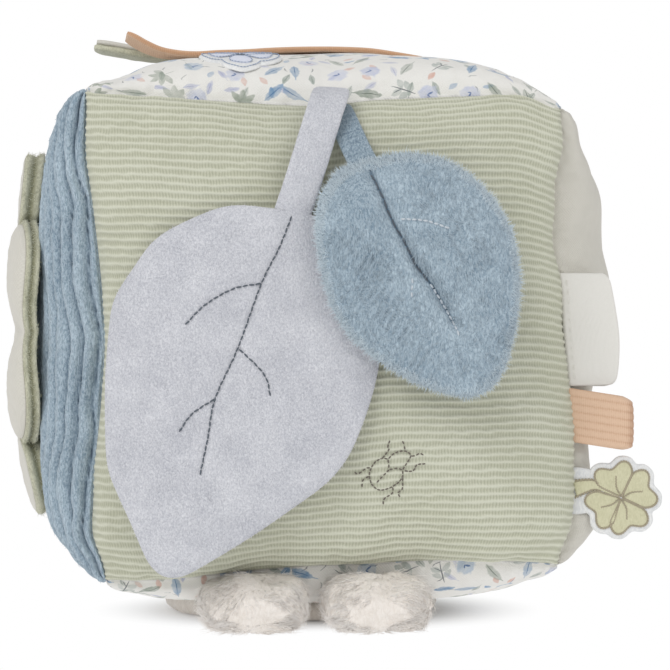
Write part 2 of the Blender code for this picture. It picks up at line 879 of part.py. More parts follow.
def build_label():
    """A bare satin label, folded once."""
    root = tag_root(label_rise, 2 * label_layer)
    bm = folded_tag(root, X, -Y, Z, label_length, label_height, label_layer, label_gap)
    finish(bm, "side_label", "white_satin", root)


def build_ribbon_loop():
    """A loop of grosgrain ribbon that a ring or a finger passes through."""
    root = tag_root(loop_rise, 2 * loop_layer)
    bm = folded_tag(root, X, -Y, Z, loop_length, loop_height, loop_layer, loop_gap)
    finish(bm, "ribbon_loop", "peach_ribbon", root)


def scalloped(radius, lobes, lobe_share, stem, stem_half_width):
    """A round outline with lobes, and a stem that leaves it at half a turn, as flat pairs."""
    stem_turn = math.asin(stem_half_width / radius)
    points = []
    for step in range(patch_points + 1):
        turn = -math.pi + stem_turn + (math.tau - 2 * stem_turn) * step / patch_points
        lobe = abs(math.cos(lobes * turn / 2)) ** 0.6
        reach = radius * (1 - lobe_share + lobe_share * lobe)
        points.append((reach * math.cos(turn), reach * math.sin(turn)))
    end = -radius - stem
    return points + [(end, stem_half_width), (end, -stem_half_width)]


def build_clover_patch():
    """A die-cut felt patch with a scalloped rim, on a short stem sewn into the seam."""
    root = tag_root(clover_patch_rise, clover_patch_thickness)
    middle = root + X * (clover_patch_stem + clover_patch_radius) + Y * clover_patch_thickness / 2
    outline = scalloped(
        clover_patch_radius, clover_patch_lobes, clover_patch_lobe_share,
        clover_patch_stem, clover_patch_stem_half_width,
    )
    points = [middle + X * x + Z * z for x, z in outline]
    finish(plate([points], -Y, clover_patch_thickness), "clover_patch", "clover_felt", root)


# What lies on the top panel


def top_height(x, y=0.0):
    """The height of the top panel's face above the floor."""
    return centre_height + panel_height(x, y, top_crown)


def build_top_ribbon():
    """A peach ribbon that lies over the crown and curls up at its free end."""
    lift = Z * (ribbon_thickness / 2 + touch_gap)
    middle_y = ribbon_front_y + ribbon_width / 2
    path = []
    for step in range(ribbon_steps + 1):
        x = ribbon_sewn_x + (ribbon_bend_x - ribbon_sewn_x) * step / ribbon_steps
        path.append(Vector((x, middle_y, top_height(x))) + lift)
    bend = path[-1]
    onward = (path[-1] - path[-2]).normalized() * (ribbon_bend_x - ribbon_tip_x) / 2
    tip = bend + X * (ribbon_tip_x - ribbon_bend_x) + Z * ribbon_tip_lift
    for step in range(1, ribbon_curl_steps + 1):
        path.append(curve_point([bend, bend + onward, tip], step / ribbon_curl_steps))
    bm = band(path, [Y] * len(path), ribbon_width, ribbon_thickness)
    finish(bm, "top_ribbon", "peach_ribbon", path[0])


def build_top_tab():
    """A folded sage and white tab that sticks out over the left edge of the top panel."""
    half = top_tab_layer + top_tab_gap / 2
    z = top_height(top_tab_root_x) + half + touch_gap
    root = Vector((top_tab_root_x, top_tab_front_y + top_tab_width / 2, z))
    run = Vector((-math.cos(top_tab_pitch), 0, math.sin(top_tab_pitch)))
    bm = folded_tag(
        root, run, run.cross(Y), Y, top_tab_length, top_tab_width, top_tab_layer, top_tab_gap,
    )
    finish(bm, "top_tab", "sage_velour", root)


def build_blossom():
    """A die-cut blossom patch on a short stem, which lies on the front slope of the top panel."""
    run = Vector((0, -math.cos(blossom_pitch), -math.sin(blossom_pitch)))
    outline = scalloped(
        blossom_radius, blossom_lobes, blossom_lobe_share, blossom_stem, blossom_stem_half_width,
    )
    root = Vector((blossom_root_x, blossom_root_y, top_height(blossom_root_x, blossom_root_y)))
    middle = root + run * (blossom_stem + blossom_radius)
    points = [middle + run * along + X * side for along, side in outline]
    sunk = max(top_height(point.x, point.y) - point.z for point in points + [middle])
    lift = Z * (sunk + blossom_room)
    bm = plate([[point + lift for point in points]], run.cross(X), blossom_thickness)
    finish(bm, "blossom_patch", "white_felt", root + lift)


def main():
    """Builds every piece of the block."""
    clear_scene()
    build_block()
    build_pad()
    build_tab("plush_tab_left", pad_shift - tab_spacing / 2)
    build_tab("plush_tab_right", pad_shift + tab_spacing / 2)
    build_large_leaf()
    build_small_leaf()
    build_straps()
    build_clover()
    build_label()
    build_ribbon_loop()
    build_clover_patch()
    build_top_ribbon()
    build_top_tab()
    build_blossom()


main()
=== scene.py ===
"""The dressed scene of a soft fabric activity block for a baby.

The block is a stuffed cube of six cloth panels. Two fabric leaves hang in front of it, a clover of
four petals is sewn to its left side, tags stick out of its right front seam, and ribbons and a
blossom patch lie on top. Lengths in the classes are millimetres, in the model's own frame, and they
become metres where a mesh is made.
"""
import logging
import math
from dataclasses import dataclass, field, replace
from enum import Enum
from typing import Any, Callable, Sequence

import bpy
import numpy as np
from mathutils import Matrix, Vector


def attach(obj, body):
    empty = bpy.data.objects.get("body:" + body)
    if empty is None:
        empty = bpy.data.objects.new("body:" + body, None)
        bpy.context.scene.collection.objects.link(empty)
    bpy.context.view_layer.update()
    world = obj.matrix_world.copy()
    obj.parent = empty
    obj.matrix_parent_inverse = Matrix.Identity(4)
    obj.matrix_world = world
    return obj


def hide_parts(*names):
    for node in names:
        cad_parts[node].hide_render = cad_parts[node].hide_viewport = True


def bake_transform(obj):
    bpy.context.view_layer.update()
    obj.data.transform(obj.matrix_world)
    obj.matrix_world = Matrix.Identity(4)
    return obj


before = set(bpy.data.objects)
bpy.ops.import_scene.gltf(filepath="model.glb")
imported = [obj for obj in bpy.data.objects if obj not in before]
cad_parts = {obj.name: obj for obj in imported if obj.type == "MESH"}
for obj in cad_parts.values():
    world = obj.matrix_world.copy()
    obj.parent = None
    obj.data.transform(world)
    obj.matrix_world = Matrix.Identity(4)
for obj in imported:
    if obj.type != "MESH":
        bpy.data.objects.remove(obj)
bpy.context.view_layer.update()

log = logging.getLogger("soft_block")
Array = np.ndarray
Tree = bpy.types.NodeTree
Socket = bpy.types.NodeSocket
MM = 0.001
MIDDLE = np.array((0.0, 0.0, 82.0))
X, Y, Z = np.eye(3)


# Small sums on arrays


def unit(vectors: Array) -> Array:
    """Vectors scaled to a length of one."""
    return vectors / np.maximum(np.linalg.norm(vectors, axis=-1, keepdims=True), 1e-9)


def smooth(low: float, high: float, value: Array) -> Array:
    """Goes from 0 at low to 1 at high, level at both ends."""
    share = np.clip((value - low) / (high - low), 0, 1)
    return share * share * (3 - 2 * share)


def ripple(points: Array, size: float, seed: int, waves: int = 9) -> Array:
    """Soft noise: a sum of sine waves, each with its own random direction, length and phase.

    Args:
        points: Places whose last axis holds the coordinates.
        size: The middle wavelength, in the points' unit.
        seed: Starts the random draws.
        waves: How many waves are summed.

    Returns:
        About -1 to 1 for each place.
    """
    random = np.random.default_rng(seed)
    total = np.zeros(points.shape[:-1])
    for _ in range(waves):
        direction = unit(random.normal(size=points.shape[-1]))
        length = size * random.uniform(0.6, 1.7)
        total += np.sin(points @ direction * (math.tau / length) + random.uniform(0, math.tau))
    return total / math.sqrt(waves)


def travelled(line: Array) -> Array:
    """How far along a line each of its points lies."""
    return np.concatenate(([0], np.cumsum(np.linalg.norm(np.diff(line, axis=0), axis=1))))


def read_at(line: Array, run: Array, wanted: Array) -> Array:
    """A line's values at wanted distances, where run is how far along each of its points lies."""
    return np.stack([np.interp(wanted, run, column) for column in line.T], axis=1)


def shut(line: Array) -> Array:
    """A closed line with its first point again at its end."""
    return np.vstack((line, line[:1]))


def circle(count: int) -> Array:
    """Evenly spaced flat points of the unit circle."""
    angle = np.arange(count) * math.tau / count
    return np.stack((np.cos(angle), np.sin(angle)), 1)


def shrunk(rim: Array, shares: Array, middle: Array | None = None) -> tuple[Array, Array]:
    """Copies of a flat rim drawn towards a middle.

    Args:
        rim: The outline's points.
        shares: How large each copy is.
        middle: Where they are drawn to, which is the rim's mean where none is given.

    Returns:
        The copies' places, and the share of each place.
    """
    middle = rim.mean(0) if middle is None else middle
    flat = middle + (rim - middle)[None] * shares[:, None, None]
    return flat, np.broadcast_to(shares[:, None], flat.shape[:2])


def through(knots: Sequence[Sequence[float]], count: int, closed: bool = False) -> Array:
    """A smooth curve through knots: each span is the cubic whose end slopes join its neighbours.

    Args:
        knots: The points that the curve passes.
        count: How many evenly spaced points come back.
        closed: Whether the curve runs back to its first knot.

    Returns:
        The curve's points, evenly spaced along it.
    """
    p = np.asarray(knots, float)
    if closed:
        p = np.vstack((p[-1], p, p[0], p[1]))
    else:
        p = np.vstack((2 * p[0] - p[1], p, 2 * p[-1] - p[-2]))
    t = np.linspace(0, 1, 24, endpoint=False)[:, None, None]
    a, b, c, d = p[:-3], p[1:-2], p[2:-1], p[3:]
    spans = 0.5 * (2 * b + (c - a) * t + (2 * a - 5 * b + 4 * c - d) * t ** 2
                   + (3 * b - a - 3 * c + d) * t ** 3)
    line = spans.transpose(1, 0, 2).reshape(-1, p.shape[1])
    line = np.vstack((line, p[1] if closed else p[-2]))
    run = travelled(line)
    return read_at(line, run, np.linspace(0, run[-1], count, endpoint=not closed))


def rounded(outline: Array, waves: float) -> Array:
    """A closed flat outline with its fine corners rounded: its higher turns about itself fade out.

    Args:
        outline: The outline's evenly spaced points.
        waves: At how many waves round it the fading is strong.

    Returns:
        As many points of the rounded outline.
    """
    turns = np.fft.fft(outline[:, 0] + 1j * outline[:, 1])
    order = np.abs(np.fft.fftfreq(len(outline), 1 / len(outline)))
    eased = np.fft.ifft(turns * np.exp(-((order / waves) ** 2)))
    return np.stack((eased.real, eased.imag), axis=1)


def arched(handles: Sequence[Array], count: int) -> Array:
    """The cubic curve that four handles draw, which leaves and arrives along the outer ones.

    Args:
        handles: Its two ends, and the two handles between them.
        count: How many points come back.

    Returns:
        The curve's points.
    """
    t = np.linspace(0, 1, count)[:, None]
    a, b, c, d = (np.asarray(h, float) for h in handles)
    return a * (1 - t) ** 3 + 3 * b * t * (1 - t) ** 2 + 3 * c * t ** 2 * (1 - t) + d * t ** 3


def away(points: Array, line: Array) -> Array:
    """How far flat points lie from a line.

    Args:
        points: The points.
        line: The line's own points.

    Returns:
        Each point's distance from the nearest span of the line.
    """
    start, span = line[:-1], np.diff(line, axis=0)
    offset = points[..., None, :] - start
    share = np.clip((offset * span).sum(-1) / (span * span).sum(-1), 0, 1)
    return np.linalg.norm(offset - share[..., None] * span, axis=-1).min(-1)


def netting(values: Array, knots: Array) -> Array:
    """Weights that read a smooth cubic net at values between its knots.

    Args:
        values: Where the net is read.
        knots: Where it is known.

    Returns:
        One row of weights a value, and one column a knot.
    """
    place = np.interp(values, knots, np.arange(len(knots)))
    cell = np.clip(place.astype(int), 0, len(knots) - 2)
    t = (place - cell)[:, None]
    weights = np.hstack((-t + 2 * t ** 2 - t ** 3, 2 - 5 * t ** 2 + 3 * t ** 3,
                         t + 4 * t ** 2 - 3 * t ** 3, -t ** 2 + t ** 3)) / 2
    made = np.zeros((len(values), len(knots)))
    for tap in range(4):
        index = np.clip(cell + tap - 1, 0, len(knots) - 1)
        np.add.at(made, (np.arange(len(values)), index), weights[:, tap])
    return made


# Surfaces


def grid_quads(rows: int, cols: int, wrap: bool = False) -> Array:
    """The squares of a grid of points.

    Args:
        rows: How many rows the grid has.
        cols: How many points a row has.
        wrap: Whether each row joins round.

    Returns:
        Four point numbers a square.
    """
    row = np.arange(rows - 1)[:, None] * cols
    col = np.arange(cols if wrap else cols - 1)[None]
    after = (col + 1) % cols
    return np.stack((row + col, row + after, row + cols + after, row + cols + col), -1).reshape(-1, 4)


@dataclass
class Shape:
    """A closed surface: its places, its faces, and what its finish reads along it."""

    points: Array
    quads: Array
    tris: Array = field(default_factory=lambda: np.empty((0, 3), int))
    uv: Array | None = None
    groove: Array | None = None

    @staticmethod
    def rings(rings: Array, uv: Array | None = None, groove: Array | None = None) -> "Shape":
        """A surface of rings about a middle line, closed by a point in the middle of each end.

        Args:
            rings: The places, as ring by step round it.
            uv: Cloth places of the same layout.
            groove: Groove depths of the same layout.

        Returns:
            The closed surface.
        """
        count, steps = rings.shape[:2]
        points = np.vstack((rings.reshape(-1, 3), rings[0].mean(0), rings[-1].mean(0)))
        step = np.arange(steps)
        after, last = (step + 1) % steps, (count - 1) * steps
        first_pole, last_pole = np.full(steps, count * steps), np.full(steps, count * steps + 1)
        tris = np.vstack((np.stack((first_pole, after, step), 1),
                          np.stack((last_pole, last + step, last + after), 1)))
        if uv is not None:
            uv = np.vstack((uv.reshape(-1, 2), uv[0].mean(0), uv[-1].mean(0)))
        if groove is not None:
            groove = np.concatenate((groove.ravel(), [groove[0].mean(), groove[-1].mean()]))
        return Shape(points, grid_quads(count, steps, True), tris, uv, groove)

    @staticmethod
    def joined(shapes: Sequence["Shape"]) -> "Shape":
        """Several surfaces as one.

        Args:
            shapes: The surfaces.

        Returns:
            All their points and faces, in the same order.
        """
        starts = np.cumsum([0] + [len(s.points) for s in shapes])
        return Shape(
            np.vstack([s.points for s in shapes]),
            np.vstack([s.quads + start for s, start in zip(shapes, starts)]),
            np.vstack([s.tris + start for s, start in zip(shapes, starts)]),
            np.vstack([np.zeros((len(s.points), 2)) if s.uv is None else s.uv for s in shapes]),
            np.concatenate([np.zeros(len(s.points)) if s.groove is None else s.groove for s in shapes]),
        )

    def copied(self, places: Array) -> "Shape":
        """Copies of this surface with places of their own.

        Args:
            places: The copies' places, as copy by point.

        Returns:
            The copies as one surface.
        """
        step = np.arange(len(places))[:, None, None] * len(self.points)
        quads, tris = (self.quads + step).reshape(-1, 4), (self.tris + step).reshape(-1, 3)
        return Shape(places.reshape(-1, 3), quads, tris)

    def volume(self) -> float:
        """Sums a x b . c over the faces' corners, a sixth of each.

        Returns:
            What the surface holds, below zero where its faces point inwards.
        """
        p, q = self.points - self.points.mean(0), self.quads
        faces = np.vstack((q[:, (0, 1, 2)], q[:, (0, 2, 3)], self.tris))
        a, b, c = (p[faces[:, k]] for k in range(3))
        return float((a * np.cross(b, c)).sum() / 6)

    def mesh(self, name: str) -> bpy.types.Mesh:
        """The surface as a smooth mesh in metres, with its faces turned outwards.

        Args:
            name: The mesh's name.

        Returns:
            The mesh.
        """
        quads, tris = self.quads, self.tris
        if self.volume() < 0:
            quads, tris = quads[:, ::-1], tris[:, ::-1]
        corners = np.concatenate((quads.ravel(), tris.ravel()))
        starts = np.concatenate((np.arange(len(quads)) * 4, quads.size + np.arange(len(tris)) * 3))
        made = bpy.data.meshes.new(name)
        made.vertices.add(len(self.points))
        made.vertices.foreach_set("co", (self.points * MM).astype(np.float32).ravel())
        made.loops.add(len(corners))
        made.loops.foreach_set("vertex_index", corners.astype(np.int32))
        made.polygons.add(len(starts))
        made.polygons.foreach_set("loop_start", starts.astype(np.int32))
        made.update(calc_edges=True)
        if self.uv is not None:
            layer = made.uv_layers.new(name="cloth")
            layer.data.foreach_set("uv", self.uv[corners].astype(np.float32).ravel())
        if self.groove is not None:
            kept = made.attributes.new("groove", "FLOAT", "POINT")
            kept.data.foreach_set("value", self.groove.astype(np.float32))
        made.shade_smooth()
        return made


def swept(path: Array, side: Array, profile: Array, widths: Array | None = None) -> Shape:
    """A closed profile carried along a path: each ring is the profile on the side and upward lines.

    Args:
        path: The middle line's points.
        side: The way across at each point.
        profile: The section as pairs of across and upward lengths.
        widths: A share of the profile's width and height at each point.

    Returns:
        The closed surface, whose cloth places run along the path and round the profile.
    """
    ahead = unit(np.gradient(path, axis=0))
    side = unit(side - (side * ahead).sum(-1, keepdims=True) * ahead)
    upward = np.cross(side, ahead)
    share = np.ones((len(path), 2)) if widths is None else widths
    rings = (path[:, None] + side[:, None] * (profile[None, :, :1] * share[:, None, :1])
             + upward[:, None] * (profile[None, :, 1:] * share[:, None, 1:]))
    uv = np.stack(np.broadcast_arrays(profile[None, :, 0], travelled(path)[:, None]), -1)
    return Shape.rings(rings, uv.astype(float))


def strip(width: float, thickness: float, steps: int = 9) -> Array:
    """The section of a flat strap: level faces whose height falls as (1 - |2 across / width|^5)^0.5.

    Args:
        width: How wide it is.
        thickness: How thick it is in its middle.
        steps: How many points go across it.

    Returns:
        The closed section as pairs of across and upward lengths.
    """
    across = width / 2 * np.sin(np.linspace(-math.pi / 2, math.pi / 2, steps))
    height = thickness / 2 * (1 - np.abs(2 * across / width) ** 5) ** 0.5
    height[0] = height[-1] = 0
    upper = np.stack((across, height), 1)
    return np.vstack((upper, np.stack((across[-2:0:-1], -height[-2:0:-1]), 1)))


def stitches(path: Array, up: Array, length: float, gap: float, radius: float,
             lean: float = 0.0) -> Shape:
    """A row of stitches: short fat spindles of thread, end to end along a line.

    Args:
        path: The line that the thread follows.
        up: The way out of the cloth, for the whole line or point by point.
        length: How long a stitch shows.
        gap: The bare cloth between two stitches.
        radius: Half the thread's width.
        lean: How far every other stitch turns off the line, in radians.

    Returns:
        The stitches as one surface.
    """
    run = travelled(path)
    count = max(int(run[-1] / (length + gap)), 1)
    at = (np.arange(count) + 0.5) * run[-1] / count
    middle = read_at(path, run, at)
    ahead = unit(read_at(np.gradient(path, axis=0), run, at))
    upward = read_at(np.broadcast_to(up, path.shape), run, at)
    upward = unit(upward - (upward * ahead).sum(-1, keepdims=True) * ahead)
    beside = np.cross(ahead, upward)
    turn = np.where(np.arange(count) % 2, lean, -lean)[:, None]
    ahead, beside = ahead * np.cos(turn) + beside * np.sin(turn), beside * np.cos(turn) - ahead * np.sin(turn)
    ring = np.array([(-0.96, 0.45), (-0.6, 0.85), (0.0, 1.0), (0.6, 0.85), (0.96, 0.45)])
    across, high = circle(6).T
    local = np.stack(np.broadcast_arrays(
        ring[:, :1] * length / 2, ring[:, 1:] * across * radius, ring[:, 1:] * high * radius), -1)
    template = Shape.rings(local)
    places = (middle[:, None] + ahead[:, None] * template.points[None, :, :1]
              + beside[:, None] * template.points[None, :, 1:2]
              + upward[:, None] * template.points[None, :, 2:])
    return template.copied(places)


def hairs(roots: Array, ways: Array, bends: Array, lengths: Array, radius: float) -> Shape:
    """Fine curved fibres: each is a three-sided tube whose line is root + way t + bend t squared.

    Args:
        roots: Where the fibres start.
        ways: The way that each sets out in.
        bends: The way that each bends towards.
        lengths: How long each is.
        radius: Half a fibre's width at its root.

    Returns:
        The fibres as one surface.
    """
    t = np.linspace(0, 1, 3)[None, :, None]
    line = roots[:, None] + (ways[:, None] * t + bends[:, None] * t * t) * lengths[:, None, None]
    ahead = unit(ways[:, None] + 2 * bends[:, None] * t)
    beside = unit(np.cross(ahead, np.array((0.31, -0.42, 0.85))))
    upward = np.cross(ahead, beside)
    across, high = circle(3).T
    reach = radius * (1 - 0.75 * t[..., None] ** 2)
    tube = (line[:, :, None] + beside[:, :, None] * across[:, None] * reach
            + upward[:, :, None] * high[:, None] * reach)
    ends = np.stack((tube[:, 0].mean(1), tube[:, -1].mean(1)), 1)
    return Shape.rings(tube[0]).copied(np.concatenate((tube.reshape(len(roots), -1, 3), ends), 1))


# Finishes


def add(tree: Tree, kind: str, inputs: dict[Any, Any] | None = None,
        **settings: Any) -> Socket:
    """Adds a node with its settings and links.

    Args:
        tree: The material's nodes.
        kind: The node's kind, without its ShaderNode.
        inputs: A value or a socket for each input, by name or place.
        settings: The node's own settings.

    Returns:
        The node's first output.
    """
    node = tree.nodes.new("ShaderNode" + kind)
    for name, value in settings.items():
        setattr(node, name, value)
    for key, value in (inputs or {}).items():
        if isinstance(value, Socket):
            tree.links.new(value, node.inputs[key])
        else:
            node.inputs[key].default_value = value
    return node.outputs[0] if node.outputs else None


def linear(code: str) -> tuple[float, float, float, float]:
    """An sRGB colour as linear light.

    Args:
        code: The colour's six hex digits.

    Returns:
        Its red, green and blue, and a full fourth value.
    """
    parts = [int(code[k:k + 2], 16) / 255 for k in (0, 2, 4)]
    made = [part / 12.92 if part <= 0.04045 else ((part + 0.055) / 1.055) ** 2.4 for part in parts]
    return (made[0], made[1], made[2], 1.0)


@dataclass(frozen=True)
class Finish:
    """A plain moulded or spun surface, and the start of every other finish."""

    name: str
    slot: str
    light: str
    dark: str
    roughness: float = 0.9
    sheen: float = 0.0
    metallic: float = 0.0
    grain: float = 0.5

    def material(self) -> bpy.types.Material:
        """The finish's material, made once.

        Returns:
            The material.
        """
        made = bpy.data.materials.get(self.name)
        if made is None:
            made = bpy.data.materials.new(self.name)
            made.use_nodes = True
            settings = {"Roughness": self.roughness, "Sheen Weight": self.sheen, "Sheen Roughness": 0.5,
                        "Metallic": self.metallic}
            for name, value in settings.items():
                made.node_tree.nodes["Principled BSDF"].inputs[name].default_value = value
            self.dress(made.node_tree)
        return made

    def connect(self, tree: Tree, colour: Socket, height: Socket, strength: float, depth: float) -> None:
        """Gives the shader its colour and its fine relief.

        Args:
            tree: The material's nodes.
            colour: The surface's colour.
            height: How high the relief stands, from 0 to 1.
            strength: How much of the relief shows.
            depth: How deep the relief is, in millimetres.
        """
        shader = tree.nodes["Principled BSDF"]
        tree.links.new(colour, shader.inputs["Base Color"])
        relief = add(tree, "Bump", {"Strength": strength, "Distance": depth * MM, "Height": height})
        tree.links.new(relief, shader.inputs["Normal"])

    def dress(self, tree: Tree) -> None:
        """A faint cloudiness of the surface colours it and gives its relief.

        Args:
            tree: The material's nodes.
        """
        place = add(tree, "TexCoord").node.outputs["Object"]
        cloud = add(tree, "TexNoise", {"Vector": place, "Scale": 1 / (self.grain * MM), "Detail": 3.0})
        colour = add(tree, "MixRGB", {0: cloud, 1: linear(self.dark), 2: linear(self.light)})
        self.connect(tree, colour, cloud, 0.3, 0.05)


@dataclass(frozen=True)
class Pile(Finish):
    """Brushed pile cloth: short leaning fibres give fine light and dark flecks and a soft sheen."""

    clump: float = 5.0
    soft: float = 0.14
    depth: float = 0.35
    way: tuple[float, float, float] = (0.0, 0.0, 0.6)
    stretch: float = 0.4
    # How far the groove attribute darkens the colour, as painted shade.
    groove_shade: float = 0.5

    def dress(self, tree: Tree) -> None:
        """Flecks follow a stretched noise of the fibres' width, and tufts a wider one. The groove attribute
        paints shade into grooves, creases and wrinkles, towards the dark colour.

        Args:
            tree: The material's nodes.
        """
        place = add(tree, "TexCoord").node.outputs["Object"]
        leaning = add(tree, "Mapping", {"Vector": place, "Rotation": self.way,
                                        "Scale": (1.0, 1.0, self.stretch)})
        fleck = add(tree, "TexNoise", {"Vector": leaning, "Scale": 1 / (self.grain * MM), "Detail": 3.0,
                                       "Roughness": 0.7, "Distortion": 0.6})
        tuft = add(tree, "TexNoise", {"Vector": place, "Scale": 1 / (self.clump * MM), "Detail": 3.0})
        crisp = add(tree, "MapRange", {"Value": fleck, "From Min": 0.5 - self.soft,
                                       "From Max": 0.5 + self.soft})
        soft = add(tree, "MapRange", {"Value": tuft, "From Min": 0.3, "From Max": 0.7})
        share = add(tree, "Math", {0: crisp, 1: 0.68}, operation="MULTIPLY")
        share = add(tree, "Math", {0: soft, 1: 0.32, 2: share}, operation="MULTIPLY_ADD")
        colour = add(tree, "MixRGB", {0: share, 1: linear(self.dark), 2: linear(self.light)})
        # Painted shade: where the groove attribute is high, the colour is multiplied by the dark one.
        groove = add(tree, "Attribute", attribute_name="groove").node.outputs["Fac"]
        shade = add(tree, "Math", {0: groove, 1: self.groove_shade}, operation="MULTIPLY")
        deep = add(tree, "MixRGB", {0: 1.0, 1: colour, 2: linear(self.dark)}, blend_type="MULTIPLY")
        colour = add(tree, "MixRGB", {0: shade, 1: colour, 2: deep})
        height = add(tree, "Math", {0: tuft, 1: 0.6, 2: fleck}, operation="MULTIPLY_ADD")
        self.connect(tree, colour, height, 0.9, self.depth)


@dataclass(frozen=True)
class RibKnit(Finish):
    """Cotton rib knit: pale crests, and darker grooves where the loops show as a row of dots."""

    loop: float = 0.8
    dots: str = "9c9e88"

    def dress(self, tree: Tree) -> None:
        """The groove attribute shades the ribs, and a wave along the cloth draws the loops.

        Args:
            tree: The material's nodes.
        """
        cloth = add(tree, "UVMap", uv_map="cloth")
        groove = add(tree, "Attribute", attribute_name="groove").node.outputs["Fac"]
        along = add(tree, "SeparateXYZ", {0: cloth}).node.outputs["X"]
        uneven = add(tree, "TexNoise", {"Vector": cloth, "Scale": 0.35, "Detail": 2.0})
        shifted = add(tree, "Math", {0: uneven, 1: 0.9, 2: along}, operation="MULTIPLY_ADD")
        wave = add(tree, "Math", {0: shifted, 1: math.tau / self.loop}, operation="MULTIPLY")
        wave = add(tree, "Math", {0: wave}, operation="SINE")
        dots = add(tree, "MapRange", {"Value": wave, "From Min": -0.3, "From Max": 0.9})
        dots = add(tree, "Math", {0: dots, 1: groove}, operation="MULTIPLY")
        dots = add(tree, "Math", {0: dots, 1: 0.6}, operation="MULTIPLY")
        place = add(tree, "TexCoord").node.outputs["Object"]
        fuzz = add(tree, "TexNoise", {"Vector": place, "Scale": 1 / (self.grain * MM), "Detail": 2.0})
        cloud = add(tree, "TexNoise", {"Vector": place, "Scale": 1 / (18 * MM), "Detail": 2.0})
        worn = add(tree, "Math", {0: fuzz, 1: cloud}, operation="ADD")
        worn = add(tree, "MapRange", {"Value": worn, "From Min": 0.7, "From Max": 1.3,
                                      "To Min": -0.34, "To Max": 0.34})
        depth = add(tree, "Math", {0: groove, 1: worn}, operation="ADD", use_clamp=True)
        colour = add(tree, "MixRGB", {0: depth, 1: linear(self.light), 2: linear(self.dark)})
        colour = add(tree, "MixRGB", {0: dots, 1: colour, 2: linear(self.dots)})
        height = add(tree, "Math", {0: dots, 1: -1.0, 2: fuzz}, operation="MULTIPLY_ADD")
        self.connect(tree, colour, height, 0.6, 0.15)


@dataclass(frozen=True)
class Cotton(Finish):
    """Plain woven cotton: a fine even weave, with a slight unevenness of the yarn."""

    thread: float = 0.55

    def colour(self, tree: Tree, weave: Socket) -> Socket:
        """The cloth's own colour between its light and its dark yarn."""
        return add(tree, "MixRGB", {0: weave, 1: linear(self.light), 2: linear(self.dark)})

    def dress(self, tree: Tree) -> None:
        """Two crossed waves of the thread's width make the weave, and noise makes it uneven.

        Args:
            tree: The material's nodes.
        """
        cloth = add(tree, "UVMap", uv_map="cloth")
        warp = add(tree, "Mapping", {"Vector": cloth, "Scale": (1 / self.thread,) * 3})
        split = add(tree, "SeparateXYZ", {0: warp})
        waves = []
        for axis in ("X", "Y"):
            turn = add(tree, "Math", {0: split.node.outputs[axis], 1: math.pi}, operation="MULTIPLY")
            waves.append(add(tree, "Math", {0: turn}, operation="SINE"))
        weave = add(tree, "Math", {0: waves[0], 1: waves[1]}, operation="MULTIPLY")
        place = add(tree, "TexCoord").node.outputs["Object"]
        slub = add(tree, "TexNoise", {"Vector": place, "Scale": 1 / (3 * MM), "Detail": 5.0,
                                      "Roughness": 0.7})
        share = add(tree, "MapRange", {"Value": weave, "From Min": -1.0, "From Max": 1.0, "To Max": 0.5})
        share = add(tree, "Math", {0: slub, 1: 0.8, 2: share}, operation="MULTIPLY_ADD")
        share = add(tree, "Math", {0: share, 1: 0.25}, operation="SUBTRACT", use_clamp=True)
        colour = self.colour(tree, share)
        height = add(tree, "Math", {0: slub, 1: 1.5, 2: weave}, operation="MULTIPLY_ADD")
        self.connect(tree, colour, height, 0.45, 0.12)


# Leaves of a print, each with its middle, half length, half width and angle.
Blades = list[tuple[tuple[float, float], float, float, float]]


class Motif(Enum):
    """What a cell of the printed cloth can hold."""

    LEAF = "a long leaf"
    CLUSTER = "five leaflets on a stalk"
    TWIG = "a thin twig with pale leaves"
    ROUND = "a round flower"
    SPOT = "an oval spot"
    STALK = "a short stalk"


